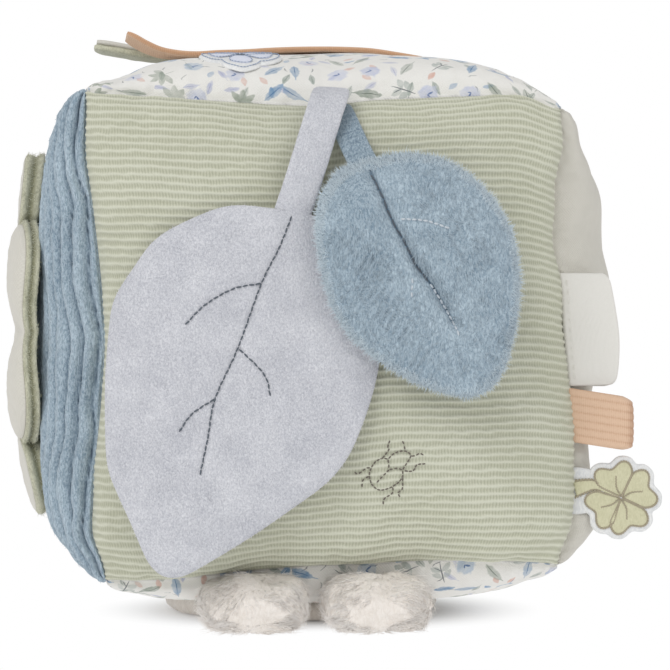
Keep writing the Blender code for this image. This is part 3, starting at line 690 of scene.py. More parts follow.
@dataclass(frozen=True)
class Print(Cotton):
    """Cotton with a loose watercolour print of small leaves, twigs, round flowers and spots."""

    cell: float = 8.8
    small_cell: float = 5.4

    def leaves(self, kind: Motif) -> Blades:
        """The blades that make a motif.

        Args:
            kind: The motif.

        Returns:
            Each blade's middle, half length, half width and angle.
        """
        if kind is Motif.LEAF:
            return [((0.0, 0.0), 3.3, 1.15, 0.0), ((3.2, 0.0), 1.4, 0.14, 0.0)]
        if kind is Motif.CLUSTER:
            return [((1.9 * math.cos(a), 1.9 * math.sin(a)), 2.0, 0.85, a)
                    for a in (-1.5, -0.75, 0.0, 0.75, 1.5)] + [((-1.5, 0.0), 1.7, 0.14, 0.0)]
        if kind is Motif.TWIG:
            return [((-0.6 + 1.7 * k, side * 1.25), 1.5, 0.8, side * 0.85)
                    for k in range(2) for side in (-1, 1)]
        if kind is Motif.SPOT:
            return [((0.0, 0.0), 2.3, 1.15, 0.3)]
        return [((0.0, 0.0), 1.6, 0.26, 0.0), ((1.2, 0.3), 0.8, 0.22, 0.5)]

    def veins(self, kind: Motif) -> Blades:
        """The fine darker strokes over a motif.

        Args:
            kind: The motif.

        Returns:
            The strokes, as thin blades.
        """
        if kind is Motif.LEAF:
            return [((-0.4, 0.0), 2.7, 0.13, 0.0)]
        if kind is Motif.TWIG:
            return [((-0.3, 0.0), 3.6, 0.2, 0.0), ((1.0, 0.7), 1.3, 0.14, 0.8)]
        if kind is Motif.ROUND:
            return [((0.0, 0.5), 0.9, 0.26, 1.45), ((0.25, -0.2), 0.5, 0.2, 0.3)]
        return []

    def cell_of(self, tree: Tree, cloth: Socket, cell: float, shift: float) -> tuple[Socket, ...]:
        """Scatters cells over the cloth.

        Args:
            tree: The material's nodes.
            cloth: The place on the cloth.
            cell: How far apart the cells lie.
            shift: How far they are moved, so that two layers differ.

        Returns:
            The place from the nearest cell's middle, turned at random, and two random numbers.
        """
        moved = add(tree, "Mapping", {"Vector": cloth, "Location": (shift, shift * 0.7, 0.0),
                                      "Scale": (1 / cell, 1 / cell, 1.0)})
        cells = add(tree, "TexVoronoi", {"Vector": moved, "Scale": 1.0, "Randomness": 0.62},
                    voronoi_dimensions="2D").node
        local = add(tree, "VectorMath", {0: moved, 1: cells.outputs["Position"]}, operation="SUBTRACT")
        draw = add(tree, "SeparateColor", {0: cells.outputs["Color"]}).node
        angle = add(tree, "Math", {0: draw.outputs["Red"], 1: math.tau}, operation="MULTIPLY")
        turned = add(tree, "VectorRotate", {"Vector": local, "Angle": angle}, rotation_type="Z_AXIS")
        sized = add(tree, "VectorMath", {0: turned, "Scale": cell}, operation="SCALE")
        return sized, draw.outputs["Green"], draw.outputs["Blue"]

    def blade(self, tree: Tree, x: Socket, y: Socket, middle: tuple[float, float], length: float,
              width: float, angle: float) -> Socket:
        """A leaf, which is 1 - (along / length)^2 - |across| / width, turned about its middle.

        Args:
            tree: The material's nodes.
            x: The place's first number.
            y: The place's second number.
            middle: The leaf's middle.
            length: Half its length.
            width: Half its width.
            angle: How far it is turned, in radians.

        Returns:
            A value above zero inside the leaf.
        """
        c, s = math.cos(angle), math.sin(angle)
        along = add(tree, "Math", {0: y, 1: s / length, 2: -(middle[0] * c + middle[1] * s) / length},
                    operation="MULTIPLY_ADD")
        along = add(tree, "Math", {0: x, 1: c / length, 2: along}, operation="MULTIPLY_ADD")
        across = add(tree, "Math", {0: y, 1: c / width, 2: (middle[0] * s - middle[1] * c) / width},
                     operation="MULTIPLY_ADD")
        across = add(tree, "Math", {0: x, 1: -s / width, 2: across}, operation="MULTIPLY_ADD")
        across = add(tree, "Math", {0: across}, operation="ABSOLUTE")
        square = add(tree, "Math", {0: along, 1: along, 2: across}, operation="MULTIPLY_ADD")
        return add(tree, "Math", {0: 1.0, 1: square}, operation="SUBTRACT")

    def motif(self, tree: Tree, place: Socket, blades: Blades) -> Socket:
        """How deep a place lies in a motif.

        Args:
            tree: The material's nodes.
            place: The place from the motif's middle.
            blades: What the motif is made of: a disc where there are none.

        Returns:
            A value above zero inside the motif.
        """
        if not blades:
            reach = add(tree, "VectorMath", {0: place}, operation="LENGTH").node.outputs["Value"]
            return add(tree, "Math", {0: reach, 1: -0.42, 2: 1.0}, operation="MULTIPLY_ADD")
        split = add(tree, "SeparateXYZ", {0: place}).node
        inside = None
        for blade in blades:
            one = self.blade(tree, split.outputs["X"], split.outputs["Y"], *blade)
            inside = one if inside is None else add(tree, "Math", {0: inside, 1: one}, operation="MAXIMUM")
        return inside

    def colour(self, tree: Tree, weave: Socket) -> Socket:
        """Lays each motif's ink over the cloth where its cell holds it, thin in places.

        Args:
            tree: The material's nodes.
            weave: How dark the yarn is.

        Returns:
            The printed cloth's colour.
        """
        ground = super().colour(tree, weave)
        cloth = add(tree, "UVMap", uv_map="cloth")
        wash = add(tree, "TexNoise", {"Vector": cloth, "Scale": 0.8, "Detail": 3.0})
        wobble = add(tree, "Math", {0: wash, 1: 1.0, 2: -0.5}, operation="MULTIPLY_ADD")
        fleck = add(tree, "TexNoise", {"Vector": cloth, "Scale": 0.5, "Detail": 2.0})
        big = ((Motif.CLUSTER, "8e9889", "727d70"), (Motif.ROUND, "bcc2d8", "5a73a0"),
               (Motif.LEAF, "8c978b", "687268"), (Motif.TWIG, "a9b1ac", "5a6267"),
               (Motif.LEAF, "6f93b4", "476f98"), (Motif.ROUND, "91aac4", "4a6a98"))
        small = ((Motif.SPOT, "d4aea1", "bd887b"), (Motif.STALK, "656c70", "656c70"),
                 (Motif.LEAF, "99a39c", "7d877f"), (Motif.SPOT, "7697b8", "587ca2"),
                 (Motif.LEAF, "b6bacf", "979bbe"))
        for cell, shift, size, kinds, bare in ((self.small_cell, 31.0, 1.35, small, 1.2),
                                               (self.cell, 0.0, 0.86, big, 1.0)):
            place, choice, strength = self.cell_of(tree, cloth, cell, shift)
            place = add(tree, "VectorMath", {0: place, "Scale": size}, operation="SCALE")
            total = len(kinds) * bare
            for index, (kind, ink, dark) in enumerate(kinds):
                inside = self.motif(tree, place, [] if kind is Motif.ROUND else self.leaves(kind))
                inside = add(tree, "Math", {0: wobble, 1: 0.8, 2: inside}, operation="MULTIPLY_ADD")
                mask = add(tree, "MapRange", {"Value": inside, "From Min": -0.05, "From Max": 0.2})
                centre = add(tree, "Math", {0: choice, 1: (index + 0.5) / total}, operation="SUBTRACT")
                centre = add(tree, "Math", {0: centre}, operation="ABSOLUTE")
                chosen = add(tree, "Math", {0: centre, 1: 0.5 / total}, operation="LESS_THAN")
                thin = add(tree, "MapRange", {"Value": fleck, "From Min": 0.3, "From Max": 0.7,
                                              "To Min": 0.55, "To Max": 1.0})
                pale = add(tree, "MapRange", {"Value": strength, "To Min": 0.6, "To Max": 1.0})
                for factor in (chosen, thin, pale):
                    mask = add(tree, "Math", {0: mask, 1: factor}, operation="MULTIPLY")
                ground = add(tree, "MixRGB", {0: mask, 1: ground, 2: linear(ink)})
                if self.veins(kind):
                    vein = self.motif(tree, place, self.veins(kind))
                    vein = add(tree, "MapRange", {"Value": vein, "From Max": 0.3})
                    for factor in (chosen, 0.85):
                        vein = add(tree, "Math", {0: vein, 1: factor}, operation="MULTIPLY")
                    ground = add(tree, "MixRGB", {0: vein, 1: ground, 2: linear(dark)})
        return ground


@dataclass(frozen=True)
class Trim(Finish):
    """Woven ribbon or tape: fine cross yarns show as faint lines along its grooves."""

    yarn: float = 0.5

    def dress(self, tree: Tree) -> None:
        """The groove attribute paints shade between the ribs, and a wave along the tape draws the yarns.

        Args:
            tree: The material's nodes.
        """
        cloth = add(tree, "UVMap", uv_map="cloth")
        groove = add(tree, "Attribute", attribute_name="groove").node.outputs["Fac"]
        along = add(tree, "SeparateXYZ", {0: cloth}).node.outputs["Y"]
        wave = add(tree, "Math", {0: along, 1: math.tau / self.yarn}, operation="MULTIPLY")
        wave = add(tree, "Math", {0: wave}, operation="SINE")
        place = add(tree, "TexCoord").node.outputs["Object"]
        fuzz = add(tree, "TexNoise", {"Vector": place, "Scale": 1 / (self.grain * MM), "Detail": 3.0})
        # Painted shade between the ribs, from the groove attribute.
        share = add(tree, "Math", {0: wave, 1: 0.15, 2: groove}, operation="MULTIPLY_ADD")
        share = add(tree, "Math", {0: fuzz, 1: 0.5, 2: share}, operation="MULTIPLY_ADD")
        share = add(tree, "Math", {0: share, 1: 0.25}, operation="SUBTRACT", use_clamp=True)
        colour = add(tree, "MixRGB", {0: share, 1: linear(self.light), 2: linear(self.dark)})
        height = add(tree, "Math", {0: wave, 1: 0.5, 2: fuzz}, operation="MULTIPLY_ADD")
        self.connect(tree, colour, height, 0.4, 0.1)


# Cotton rib jersey, loops about 0.6 mm wide, drawn at 0.8 mm so that they show.
RIB_KNIT = RibKnit("cotton_rib_knit_sage", "sage_rib_knit", "cecfbe", "b9baa6", sheen=0.15, grain=0.35)
# Polyester short plush, blue: dense pile about 1 mm high with a matt bloom, with painted shade in its
# grooves, creases and wrinkles.
BLUE_PLUSH = Pile("polyester_plush_blue", "blue_plush", "bfd0db", "788d9e", 1.0, 0.25, grain=0.45,
                  soft=0.10, depth=0.6, groove_shade=0.95, clump=13.0)
# The same plush where its tips catch the light along a rim.
BLUE_TIPS = Finish("polyester_plush_blue_tips", "blue_plush", "d4e1e9", "879eaf", 1.0, 0.2, grain=0.6)
# Plain cotton poplin, undyed greige.
PALE_COTTON = Cotton("cotton_poplin_greige", "pale_cotton", "d2cfc6", "c6c3b9", sheen=0.1, thread=0.4)
# Printed cotton poplin on an off-white ground.
PRINTED = Print("cotton_poplin_printed", "floral_cotton", "ebeae6", "dfddd8", sheen=0.1, thread=0.4)
# Polyester velour, lavender grey: a very short clipped pile.
LAVENDER = Pile("polyester_velour_lavender", "lavender_velour", "e4e5ea", "b3b5be", 1.0, 0.2,
                grain=0.42, depth=0.5, stretch=0.7, clump=9.0, soft=0.13)
# The velour's fibre tips, a lighter copy painted as a highlight where they catch the light.
LAVENDER_TIPS = Finish("polyester_velour_lavender_tips", "lavender_velour", "e4e4e8", "cccdd3", 1.0, 0.2,
                       grain=1.5)
# Velour in sage, for the backing and rim of the petals; the groove between the rim's ridges takes painted
# shade.
SAGE_VELOUR = Pile("polyester_velour_sage", "sage_velour", "d3d2bd", "a3a38c", 1.0, 0.2, grain=0.45,
                   depth=0.2, groove_shade=0.8)
# Its loose fibres along the rim, which catch the light.
SAGE_FUZZ = replace(SAGE_VELOUR, name="polyester_velour_sage_fuzz", light="dcdcc6", dark="d0d0b8")
# Soft brushed cotton, cream.
CREAM = Cotton("cotton_brushed_cream", "cream_cotton", "d3d0c7", "c5c2b8", sheen=0.2)
# Long white plush, whose fibres are modelled.
WHITE_PLUSH = Pile("polyester_fur_white", "white_plush", "f2ece6", "e0d8cf", 1.0, 0.3, grain=0.7,
                   depth=0.3, clump=4.0)
# Its loose fibres, a lighter copy: painted light that makes up for the shade among them.
WHITE_FIBRES = Finish("polyester_fur_white_fibres", "white_plush", "fdfaf7", "efe9e3", 0.8, 0.0, grain=1.2)
# The same plush on the pad, shorter and less bright.
PAD_PLUSH = replace(WHITE_PLUSH, name="polyester_plush_pad", light="e9e2da", dark="cfc6bb")
# Woven polyester satin tape, bare.
SATIN = Trim("polyester_satin_white", "white_satin", "e0ded8", "cfccc4", 0.55, 0.2, yarn=0.35)
# Grosgrain ribbon, peach.
PEACH = Trim("polyester_grosgrain_peach", "peach_ribbon", "dbbba0", "b4896a", 0.75, 0.15, yarn=0.6)
# The ribbon on top is a paler weave of the same.
PALE_PEACH = Trim("polyester_grosgrain_pale", "peach_ribbon", "e0bfa1", "bf9371", 0.75, 0.15, yarn=0.6)
# Pressed felt, white and green, with short matted fibres.
WHITE_FELT = Pile("pressed_felt_white", "white_felt", "eeeeec", "d2d4d6", 1.0, 0.1, grain=0.5, depth=0.12)
# Dense satin stitch in pale lilac, on the blossom's petals.
LILAC_STITCH = replace(WHITE_FELT, name="satin_stitch_lilac", light="e2e5f0", dark="cdd3e4")
CLOVER_FELT = Pile("satin_stitch_green", "clover_felt", "d3d0b1", "bfbc9b", 0.8, 0.2, grain=0.4, depth=0.15)
# Embroidery threads: rayon, with a slight gloss.
DARK_THREAD = Finish("rayon_thread_slate", "white_felt", "5d6670", "3c444e", 0.6, 0.2, grain=0.6)
BROWN_THREAD = Finish("rayon_thread_taupe", "sage_rib_knit", "756d62", "554e46", 0.6, 0.2, grain=0.6)
PALE_THREAD = Finish("rayon_thread_pale", "blue_plush", "d5dbe0", "a7b2bc", 0.6, 0.2, grain=0.6)
GREEN_THREAD = Finish("rayon_thread_olive", "clover_felt", "b0a68f", "8f8670", 0.6, 0.2, grain=0.6)
BLUE_THREAD = Finish("rayon_thread_blue", "white_felt", "aebbd0", "7787a4", 0.6, 0.2, grain=0.6)
# Polyester fibre filling, crinkle film, moulded ABS and polished steel, all inside.
WADDING = Pile("polyester_fibrefill", "filling", "f2f1ee", "d9d8d4", 1.0, 0.1, grain=0.8, depth=0.3)
FILM = Finish("crinkle_film_polyester", "film", "e6e8ea", "cfd4d9", 0.25, grain=6.0)
ABS = Finish("moulded_abs_white", "rattle_plastic", "e8e7e3", "dededa", 0.4, grain=9.0)
STEEL = Finish("polished_steel", "steel", "c4c4c6", "a9a9ad", 0.25, metallic=1.0, grain=4.0)


def pelt(points: Array, outward: Array, comb: Array, lengths: tuple[float, float], radius: float,
         lift: float, seed: int) -> Shape:
    """Short fibres that lie along a surface: each sets out between the comb's way and outwards.

    Args:
        points: Where the fibres start.
        outward: The way out of the surface at each.
        comb: The way that the pile is combed at each.
        lengths: The shortest and the longest fibre.
        radius: Half a fibre's width.
        lift: How far a fibre stands up, for one along the comb.
        seed: Starts the random draws.

    Returns:
        The fibres.
    """
    random = np.random.default_rng(seed)
    flat = unit(comb - (comb * outward).sum(-1, keepdims=True) * outward)
    way = unit(flat + outward * lift + random.normal(0, 0.18, points.shape))
    bend = random.normal(0, 0.2, points.shape) - outward * lift * 0.5
    return hairs(points - outward * 0.15, way, bend, random.uniform(*lengths, len(points)), radius)


@dataclass(frozen=True)
class Bend:
    """Cloth that crosses a joint: the body before it, and where its bend starts and ends."""

    first: str
    start: Array
    end: Array


def piece(name: str, shape: Shape, finish: Finish, body: str, replaces: Sequence[str] = (),
          bend: Bend | None = None) -> bpy.types.Object:
    """Makes a surface a piece of the model.

    Args:
        name: The piece's name.
        shape: Its surface.
        finish: What it is made of.
        body: The body that it rides on, where it has no bend.
        replaces: The solids that it stands for.
        bend: Where it crosses a joint, if it does; such a piece is attached to no body and keeps its place in
            its mesh.

    Returns:
        The piece's object.
    """
    made = bpy.data.objects.new(name, shape.mesh(name))
    bpy.context.scene.collection.objects.link(made)
    made.data.materials.append(finish.material())
    if bend is None:
        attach(made, body)
    else:
        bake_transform(made)
    if replaces:
        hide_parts(*replaces)
    faces = 2 * len(shape.quads) + len(shape.tris)
    log.info("%s: %d triangles on %s, in %s", name, faces, body, finish.name)
    return made


# The block


class Cover(Enum):
    """How a panel's cloth is worked."""

    RIBS = "ribs"
    WALES = "wales"
    SMOOTH = "smooth"


@dataclass(frozen=True)
class Panel:
    """One panel: its two in-plane directions, its crown, and its cloth."""

    name: str
    across: tuple[float, float, float]
    up: tuple[float, float, float]
    rise: float
    cover: Cover
    finish: Finish
    seed: int
    waist: float = 0.0
    # Shallow dents in the crown: 0 across or 1 up, where, how wide, as shares of the half side, how deep.
    dents: tuple[tuple[int, float, float, float], ...] = ()

    def axes(self) -> tuple[Array, Array, Array]:
        """The directions across, up and out of the panel."""
        across, up = np.array(self.across), np.array(self.up)
        return across, up, np.cross(across, up)


@dataclass
class Stuffing:
    """What the filling does to the cover: a cloth blown up from inside, held at its seams."""

    pressure: float = 5.0
    frames: int = 20
    slack: float = -0.035
    stiffness: float = 0.4
    quality: int = 5
    reach: float = 5.0

    def settle(self, shape: Shape, held: Array) -> Array:
        """Runs the cloth and gives back how far each point moved.

        Args:
            shape: The closed cover.
            held: True for the points that stay, as those in a seam.

        Returns:
            A move for each point, in millimetres, none longer than the reach.
        """
        scene = bpy.context.scene
        cover = bpy.data.objects.new("cover", shape.mesh("cover"))
        scene.collection.objects.link(cover)
        group = cover.vertex_groups.new(name="seam")
        group.add(np.flatnonzero(held).tolist(), 1.0, "REPLACE")
        cloth = cover.modifiers.new("stuffing", "CLOTH")
        cloth.settings.vertex_group_mass = "seam"
        cloth.settings.use_pressure = True
        cloth.settings.uniform_pressure_force = self.pressure
        cloth.settings.shrink_min = self.slack
        cloth.settings.bending_stiffness = self.stiffness
        cloth.settings.effector_weights.gravity = 0
        cloth.settings.quality = self.quality
        for number in range(1, self.frames + 1):
            scene.frame_set(number)
        worked = cover.evaluated_get(bpy.context.evaluated_depsgraph_get())
        after = np.empty(len(shape.points) * 3, np.float32)
        worked.data.vertices.foreach_get("co", after)
        move = after.reshape(-1, 3).astype(float) / MM - shape.points
        scene.frame_set(1)
        bpy.data.objects.remove(cover)
        length = np.linalg.norm(move, axis=1, keepdims=True)
        return move * np.minimum(1, self.reach / np.maximum(length, 1e-6))


@dataclass
class Block:
    """The stuffed cube: six panels sewn along edges that draw in at their middles."""

    half: float = 65.0
    bow: float = 3.5
    inset: float = 0.03
    cloth: float = 1.8
    fullness: float = 0.27
    rib_pitch: float = 2.05
    rib_height: float = 0.34
    waist_depth: float = 8.5
    waist_height: float = -28.0
    waist_half_height: float = 20.0
    wale_pitch: float = 5.2
    wale_height: float = 2.6
    cage: int = 45
    # How far the front seams stray from a true cube, by the other coordinate over its half side.
    left_stray: tuple = ((-1, 4.2), (-0.93, 2.6), (-0.82, -1.6), (-0.5, -2.0), (0, 0), (0.4, -1.8),
                         (0.76, -3.4), (1, -1.5))
    right_stray: tuple = ((-1, -3.2), (-0.9, 0.3), (-0.82, 3.2), (-0.6, 4.3), (-0.3, 5.7), (0, 2.5),
                          (0.17, 3.0), (0.27, 2.1), (0.345, 0.0), (0.437, -1.1), (0.545, -0.7), (0.675, -1.7),
                          (0.76, -0.1), (0.83, 0.4), (0.89, -0.1), (1, -2.0))
    low_stray: tuple = ((-1, -2.2), (-0.9, -3.7), (-0.7, -4.5), (-0.4, -3.7), (0.1, -2.3), (0.5, -0.5),
                        (0.94, 1.1), (1, 1.2))
    high_stray: tuple = ((-1, 0.2), (-0.8, 0.7), (-0.5, 1.1), (-0.2, 0.7), (0, 0.6), (0.2, 2.2),
                         (0.5, 2.3), (0.8, 1.5), (0.9, -1.4), (1, -4.4))
    wrinkles: float = 0.3
    fuzz: int = 6500
    # The rings across a panel's lining, by their share of its half side.
    lining: tuple[float, ...] = (1.0, 0.97, 0.85, 0.6, 0.3)
    # The knit's rows lie closer where the crown leans, by this share.
    knit_flat: float = 0.45
    # The gathers along plain seams: the pitches of two waves, their height and how far they run in.
    gathers: tuple[float, float] = (5.6, 3.7)
    gather_height: float = 0.38
    gather_reach: float = 5.5
    lumps: float = 0.4
    filling_inset: float = 2.5
    filling_slack: float = 1.0
    filling_cut: float = 0.15
    rattle_room: float = 14.1
    moves: dict[str, Array] = field(default_factory=dict)

    def panels(self) -> tuple[Panel, ...]:
        """The six panels, with the crowns that the solids have.

        Returns:
            The front, the back, the left, the right, the top and the bottom one.
        """
        return (
            Panel("front_panel", (1, 0, 0), (0, 0, 1), 15.0, Cover.RIBS, RIB_KNIT, 11),
            Panel("back_panel", (-1, 0, 0), (0, 0, 1), 16.5, Cover.RIBS, RIB_KNIT, 12),
            Panel("left_panel", (0, -1, 0), (0, 0, 1), 18.0, Cover.WALES, BLUE_PLUSH, 13),
            Panel("right_panel", (0, 1, 0), (0, 0, 1), 18.0, Cover.SMOOTH, PALE_COTTON, 14, self.waist_depth,
                  ((1, 0.88, 0.11, 4.0), (1, 0.64, 0.13, -1.8))),
            Panel("top_panel", (1, 0, 0), (0, 1, 0), 15.9, Cover.SMOOTH, PRINTED, 15, 0.0,
                  ((0, -0.93, 0.17, 3.2), (0, 0.88, 0.19, 3.5))),
            Panel("bottom_panel", (1, 0, 0), (0, -1, 0), 13.0, Cover.SMOOTH, PRINTED, 16, 0.0,
                  ((0, 0.7, 0.4, -1.6),)),
        )

    def face(self, panel: Panel, u: Array, v: Array, less: float = 0.0) -> Array:
        """A panel's face from the block's middle.

        Along is half u - bow u (1 - v^2), and the other way likewise. Out is half, less the bow at
        the edges, plus the crown times ((1 - u^2)(1 - v^2)) to the fullness. A waist takes a level
        valley off the crown, by a steep bell of the height.

        Args:
            panel: The panel.
            u: Shares of the half side across.
            v: Shares of the half side up.
            less: What is taken off the crown.

        Returns:
            The places, seen from the block's middle.
        """
        across, up, out = panel.axes()
        along = self.half * u - self.bow * u * (1 - v * v)
        height = self.half * v - self.bow * v * (1 - u * u)
        drawn = self.bow * ((1 - v * v) * u * u + (1 - u * u) * v * v)
        crown = np.maximum((1 - u * u) * (1 - v * v), 0) ** self.fullness
        valley = np.exp(-((v * self.half - self.waist_height) / self.waist_half_height) ** 4)
        rise = panel.rise - less - panel.waist * valley
        for way, place, width, depth in panel.dents:
            rise = rise - depth * np.exp(-(((u, v)[way] - place) / width) ** 2)
        level = self.half - drawn + rise * crown
        return along[..., None] * across + height[..., None] * up + level[..., None] * out

    def drawn_in(self, points: Array, out: Array) -> Array:
        """Points with what lies along their panel drawn in by the seam's inset."""
        return points - (points - (points @ out)[..., None] * out) * (self.inset / self.half)

    def cage_of(self, panel: Panel) -> tuple[Array, Array, Array]:
        """The shares where a panel's moves are kept, and their grid across and up."""
        shares, _ = self.spread(panel.rise, self.cage)
        return shares, *np.meshgrid(shares, shares, indexing="ij")

    def spread(self, rise: float, count: int, flat: float = 0.0, hem: bool = False) -> tuple[Array, Array]:
        """Shares of the half side that lie evenly along the cloth, and how far along each lies.

        Args:
            rise: The panel's crown.
            count: How many shares.
            flat: How much of the spacing is measured flat instead of along the crown.
            hem: Whether two more shares lie close to each end.

        Returns:
            The shares, and their places along the cloth from its middle.
        """
        u = np.sin(np.linspace(-math.pi / 2, math.pi / 2, 4001))
        x = (self.half - self.bow) * u
        y = rise * np.maximum(1 - u * u, 0) ** self.fullness - self.bow * u * u
        step = np.hypot(np.diff(x), np.diff(y)) * (1 - flat) + np.diff(x) * flat
        run = np.concatenate(([0], np.cumsum(step)))
        run -= run[-1] / 2
        wanted = np.linspace(run[0], run[-1], count)
        if hem:
            close = np.array((0.25, 0.7))
            wanted = np.sort(np.concatenate((wanted, run[0] + close, run[-1] - close)))
        return np.interp(wanted, run, u), wanted

    def strayed(self, points: Array) -> Array:
        """Moves points with the front seams, which aren't quite straight, fading out to the back.

        Args:
            points: Places from the block's middle.

        Returns:
            The moved places.
        """
        x, y, z = np.moveaxis(points, -1, 0)
        u, v = np.clip(x / self.half, -1, 1), np.clip(z / self.half, -1, 1)
        dense = np.linspace(-1.2, 1.2, 241)
        bell = np.exp(-(np.linspace(-1, 1, 25) * 2) ** 2)

        def eased(knots: Sequence[tuple[float, float]], at: Array) -> Array:
            """The knots' values at some shares, with the corners between spans rounded.

            Args:
                knots: Pairs of a share and a value.
                at: The shares.

            Returns:
                The values.
            """
            line = np.interp(dense, *np.array(knots, float).T)
            line = np.convolve(np.pad(line, 12, mode="edge"), bell / bell.sum(), mode="valid")
            return np.interp(at, dense, line)

        sideways = eased(self.left_stray, v) * (1 - u) / 2 + eased(self.right_stray, v) * (1 + u) / 2
        upwards = eased(self.low_stray, u) * (1 - v) / 2 + eased(self.high_stray, u) * (1 + v) / 2
        near = smooth(-20, -60, y)
        return points + np.stack((sideways * near, np.zeros_like(near), upwards * near), -1)

    def stuff(self) -> None:
        """Lets the filling work the cover, and keeps each panel's moves on its cage of points.

        The cloth's mean swell is fitted by powers of the crown and taken off, so that the panels keep
        their fullness and gain wrinkles.
        """
        s = np.abs(np.linspace(-1, 1, self.cage))
        edge = np.maximum(s[:, None], s[None]) > 0.999
        faces = []
        for panel in self.panels():
            _, u, v = self.cage_of(panel)
            faces.append(self.face(panel, u, v).reshape(-1, 3))
        places = np.vstack(faces)
        _, first, index = np.unique(np.round(places, 1), axis=0, return_index=True, return_inverse=True)
        index = index.ravel()
        squares = grid_quads(self.cage, self.cage)
        squares = np.vstack([index[squares + k * self.cage ** 2] for k in range(6)])
        held = np.zeros(len(first), bool)
        np.logical_or.at(held, index, np.tile(edge.ravel(), 6))
        move = Stuffing().settle(Shape(places[first] + MIDDLE, squares), held)[index]
        for number, panel in enumerate(self.panels()):
            start = number * self.cage ** 2
            own = move[start:start + self.cage ** 2]
            out = panel.axes()[2]
            _, u, v = self.cage_of(panel)
            fullness = np.maximum((1 - u * u) * (1 - v * v), 0).ravel()
            swell = np.stack([fullness ** power for power in (self.fullness, 1.0, 3.0)], 1)
            fit = np.linalg.lstsq(swell, own @ out, rcond=None)[0]
            own = own - (swell @ fit)[:, None] * out
            self.moves[panel.name] = own.reshape(self.cage, self.cage, 3) * self.wrinkles

    def worked(self, panel: Panel, u: Array, v: Array) -> Array:
        """The stuffing's moves read at finer shares of a panel.

        Args:
            panel: The panel.
            u: Shares of the half side across.
            v: Shares of the half side up.

        Returns:
            A move for each pair of shares.
        """
        shares = self.cage_of(panel)[0]
        rows, cols = netting(u, shares), netting(v, shares)
        return np.einsum("ri,ijk,cj->rck", rows, self.moves[panel.name], cols)

    def relief(self, panel: Panel, place: Array, reach: tuple[float, float],
               worked: bool = True) -> tuple[Array, Array]:
        """How far the worked cloth stands out of the panel's face, and how deep its grooves are.

        Ribs are narrow crests of |cos|, wales full ones of |sin|, and plain cloth is gathered by
        waves along its seams. Under them lies a soft unevenness of the filling.

        Args:
            panel: The panel.
            place: Places along the cloth from its middle.
            reach: How far the cloth runs to its seams, both ways.
            worked: Whether the ribs or wales have their grooves.

        Returns:
            The heights and the groove depths, which the knit and pile finishes darken as painted shade.
        """
        rim_u, rim_v = reach[0] - np.abs(place[..., 0]), reach[1] - np.abs(place[..., 1])
        rim = np.minimum(rim_u, rim_v)
        from_edge = smooth(0.0, 2.0, rim)
        wander = ripple(place, 34, panel.seed)
        soft = self.lumps * smooth(8, 22, rim) * ripple(place, 40, panel.seed + 60)
        if panel.cover is Cover.RIBS:
            phase = place[..., 1] / self.rib_pitch + 0.10 * wander + 0.03 * ripple(place, 9, panel.seed + 39)
            phase = phase + 0.05 * ripple(place, 3.0, panel.seed + 38)
            crest = np.abs(np.cos(math.pi * phase)) ** 3.0 if worked else np.ones_like(phase)
            level = (self.rib_height * (crest - 0.3) + 0.3 * ripple(place, 22, panel.seed + 40)) * from_edge
            return level, (1 - crest) * smooth(0.0, 1.4, rim)
        if panel.cover is Cover.WALES:
            bent = 0.34 * wander + 0.10 * ripple(place, 16, panel.seed + 40)
            phase = (reach[0] - place[..., 0]) / self.wale_pitch + bent + 0.45
            crest = np.abs(np.sin(math.pi * phase)) ** 0.5 if worked else np.ones_like(phase)
            level = self.wale_height * (crest - 0.6) + 0.12 * ripple(place, 3.2, panel.seed + 41, 14) + soft
            # Painted shade: the plush's finish darkens these wale grooves nearly to its dark colour.
            return level * smooth(0.0, 1.0, rim), smooth(0.68, 0.1, crest)
        along = np.where(rim_u < rim_v, place[..., 1], place[..., 0])
        wide, fine = (along * math.tau / pitch for pitch in self.gathers)
        tuck = np.sin(wide + 2.5 * wander) + 0.6 * np.sin(fine + wander)
        level = self.gather_height * tuck * np.exp(-rim / self.gather_reach) * smooth(0, 1.5, rim)
        return level + 0.3 * wander * smooth(4, 20, rim) + soft, 0.5 * np.exp(-rim / 0.8)

    def build_panel(self, panel: Panel) -> None:
        """One panel as a closed shell: its worked outer face, its rim, and rings across its lining.

        Args:
            panel: The panel.
        """
        counts = {Cover.RIBS: (110, 545), Cover.WALES: (236, 120), Cover.SMOOTH: (130, 130)}[panel.cover]
        u, run_u = self.spread(panel.rise, counts[0], hem=True)
        v, run_v = self.spread(panel.rise, counts[1], self.knit_flat if panel.cover is Cover.RIBS else 0.0)
        grid_u, grid_v = np.meshgrid(u, v, indexing="ij")
        points = self.face(panel, grid_u, grid_v)
        if self.moves:
            points = points + self.worked(panel, u, v)
        out = panel.axes()[2]
        normal = unit(np.cross(np.gradient(points, axis=0), np.gradient(points, axis=1)))
        place = np.stack(np.meshgrid(run_u, run_v, indexing="ij"), -1)
        level, groove = self.relief(panel, place, (run_u[-1], run_v[-1]))
        outer = self.strayed(self.drawn_in(points + normal * level[..., None], out))
        rows, cols = len(u), len(v)
        a, b = np.arange(rows), np.arange(cols)
        edge = np.concatenate((a[:-1] * cols, (rows - 1) * cols + b[:-1],
                               a[:0:-1] * cols + cols - 1, b[:0:-1]))
        edge_u, edge_v = grid_u.ravel()[edge], grid_v.ravel()[edge]
        rings = []
        inner = 1 - self.cloth / self.half
        for share in self.lining:
            lining = self.drawn_in(self.face(panel, edge_u * share, edge_v * share), out)
            rings.append(self.strayed(lining * inner))
        middle = self.face(panel, np.zeros(1), np.zeros(1)) * inner
        start, loop = rows * cols, len(edge)
        links = np.vstack([edge] + [start + k * loop + np.arange(loop) for k in range(len(rings))])
        after = np.roll(links, -1, axis=1)
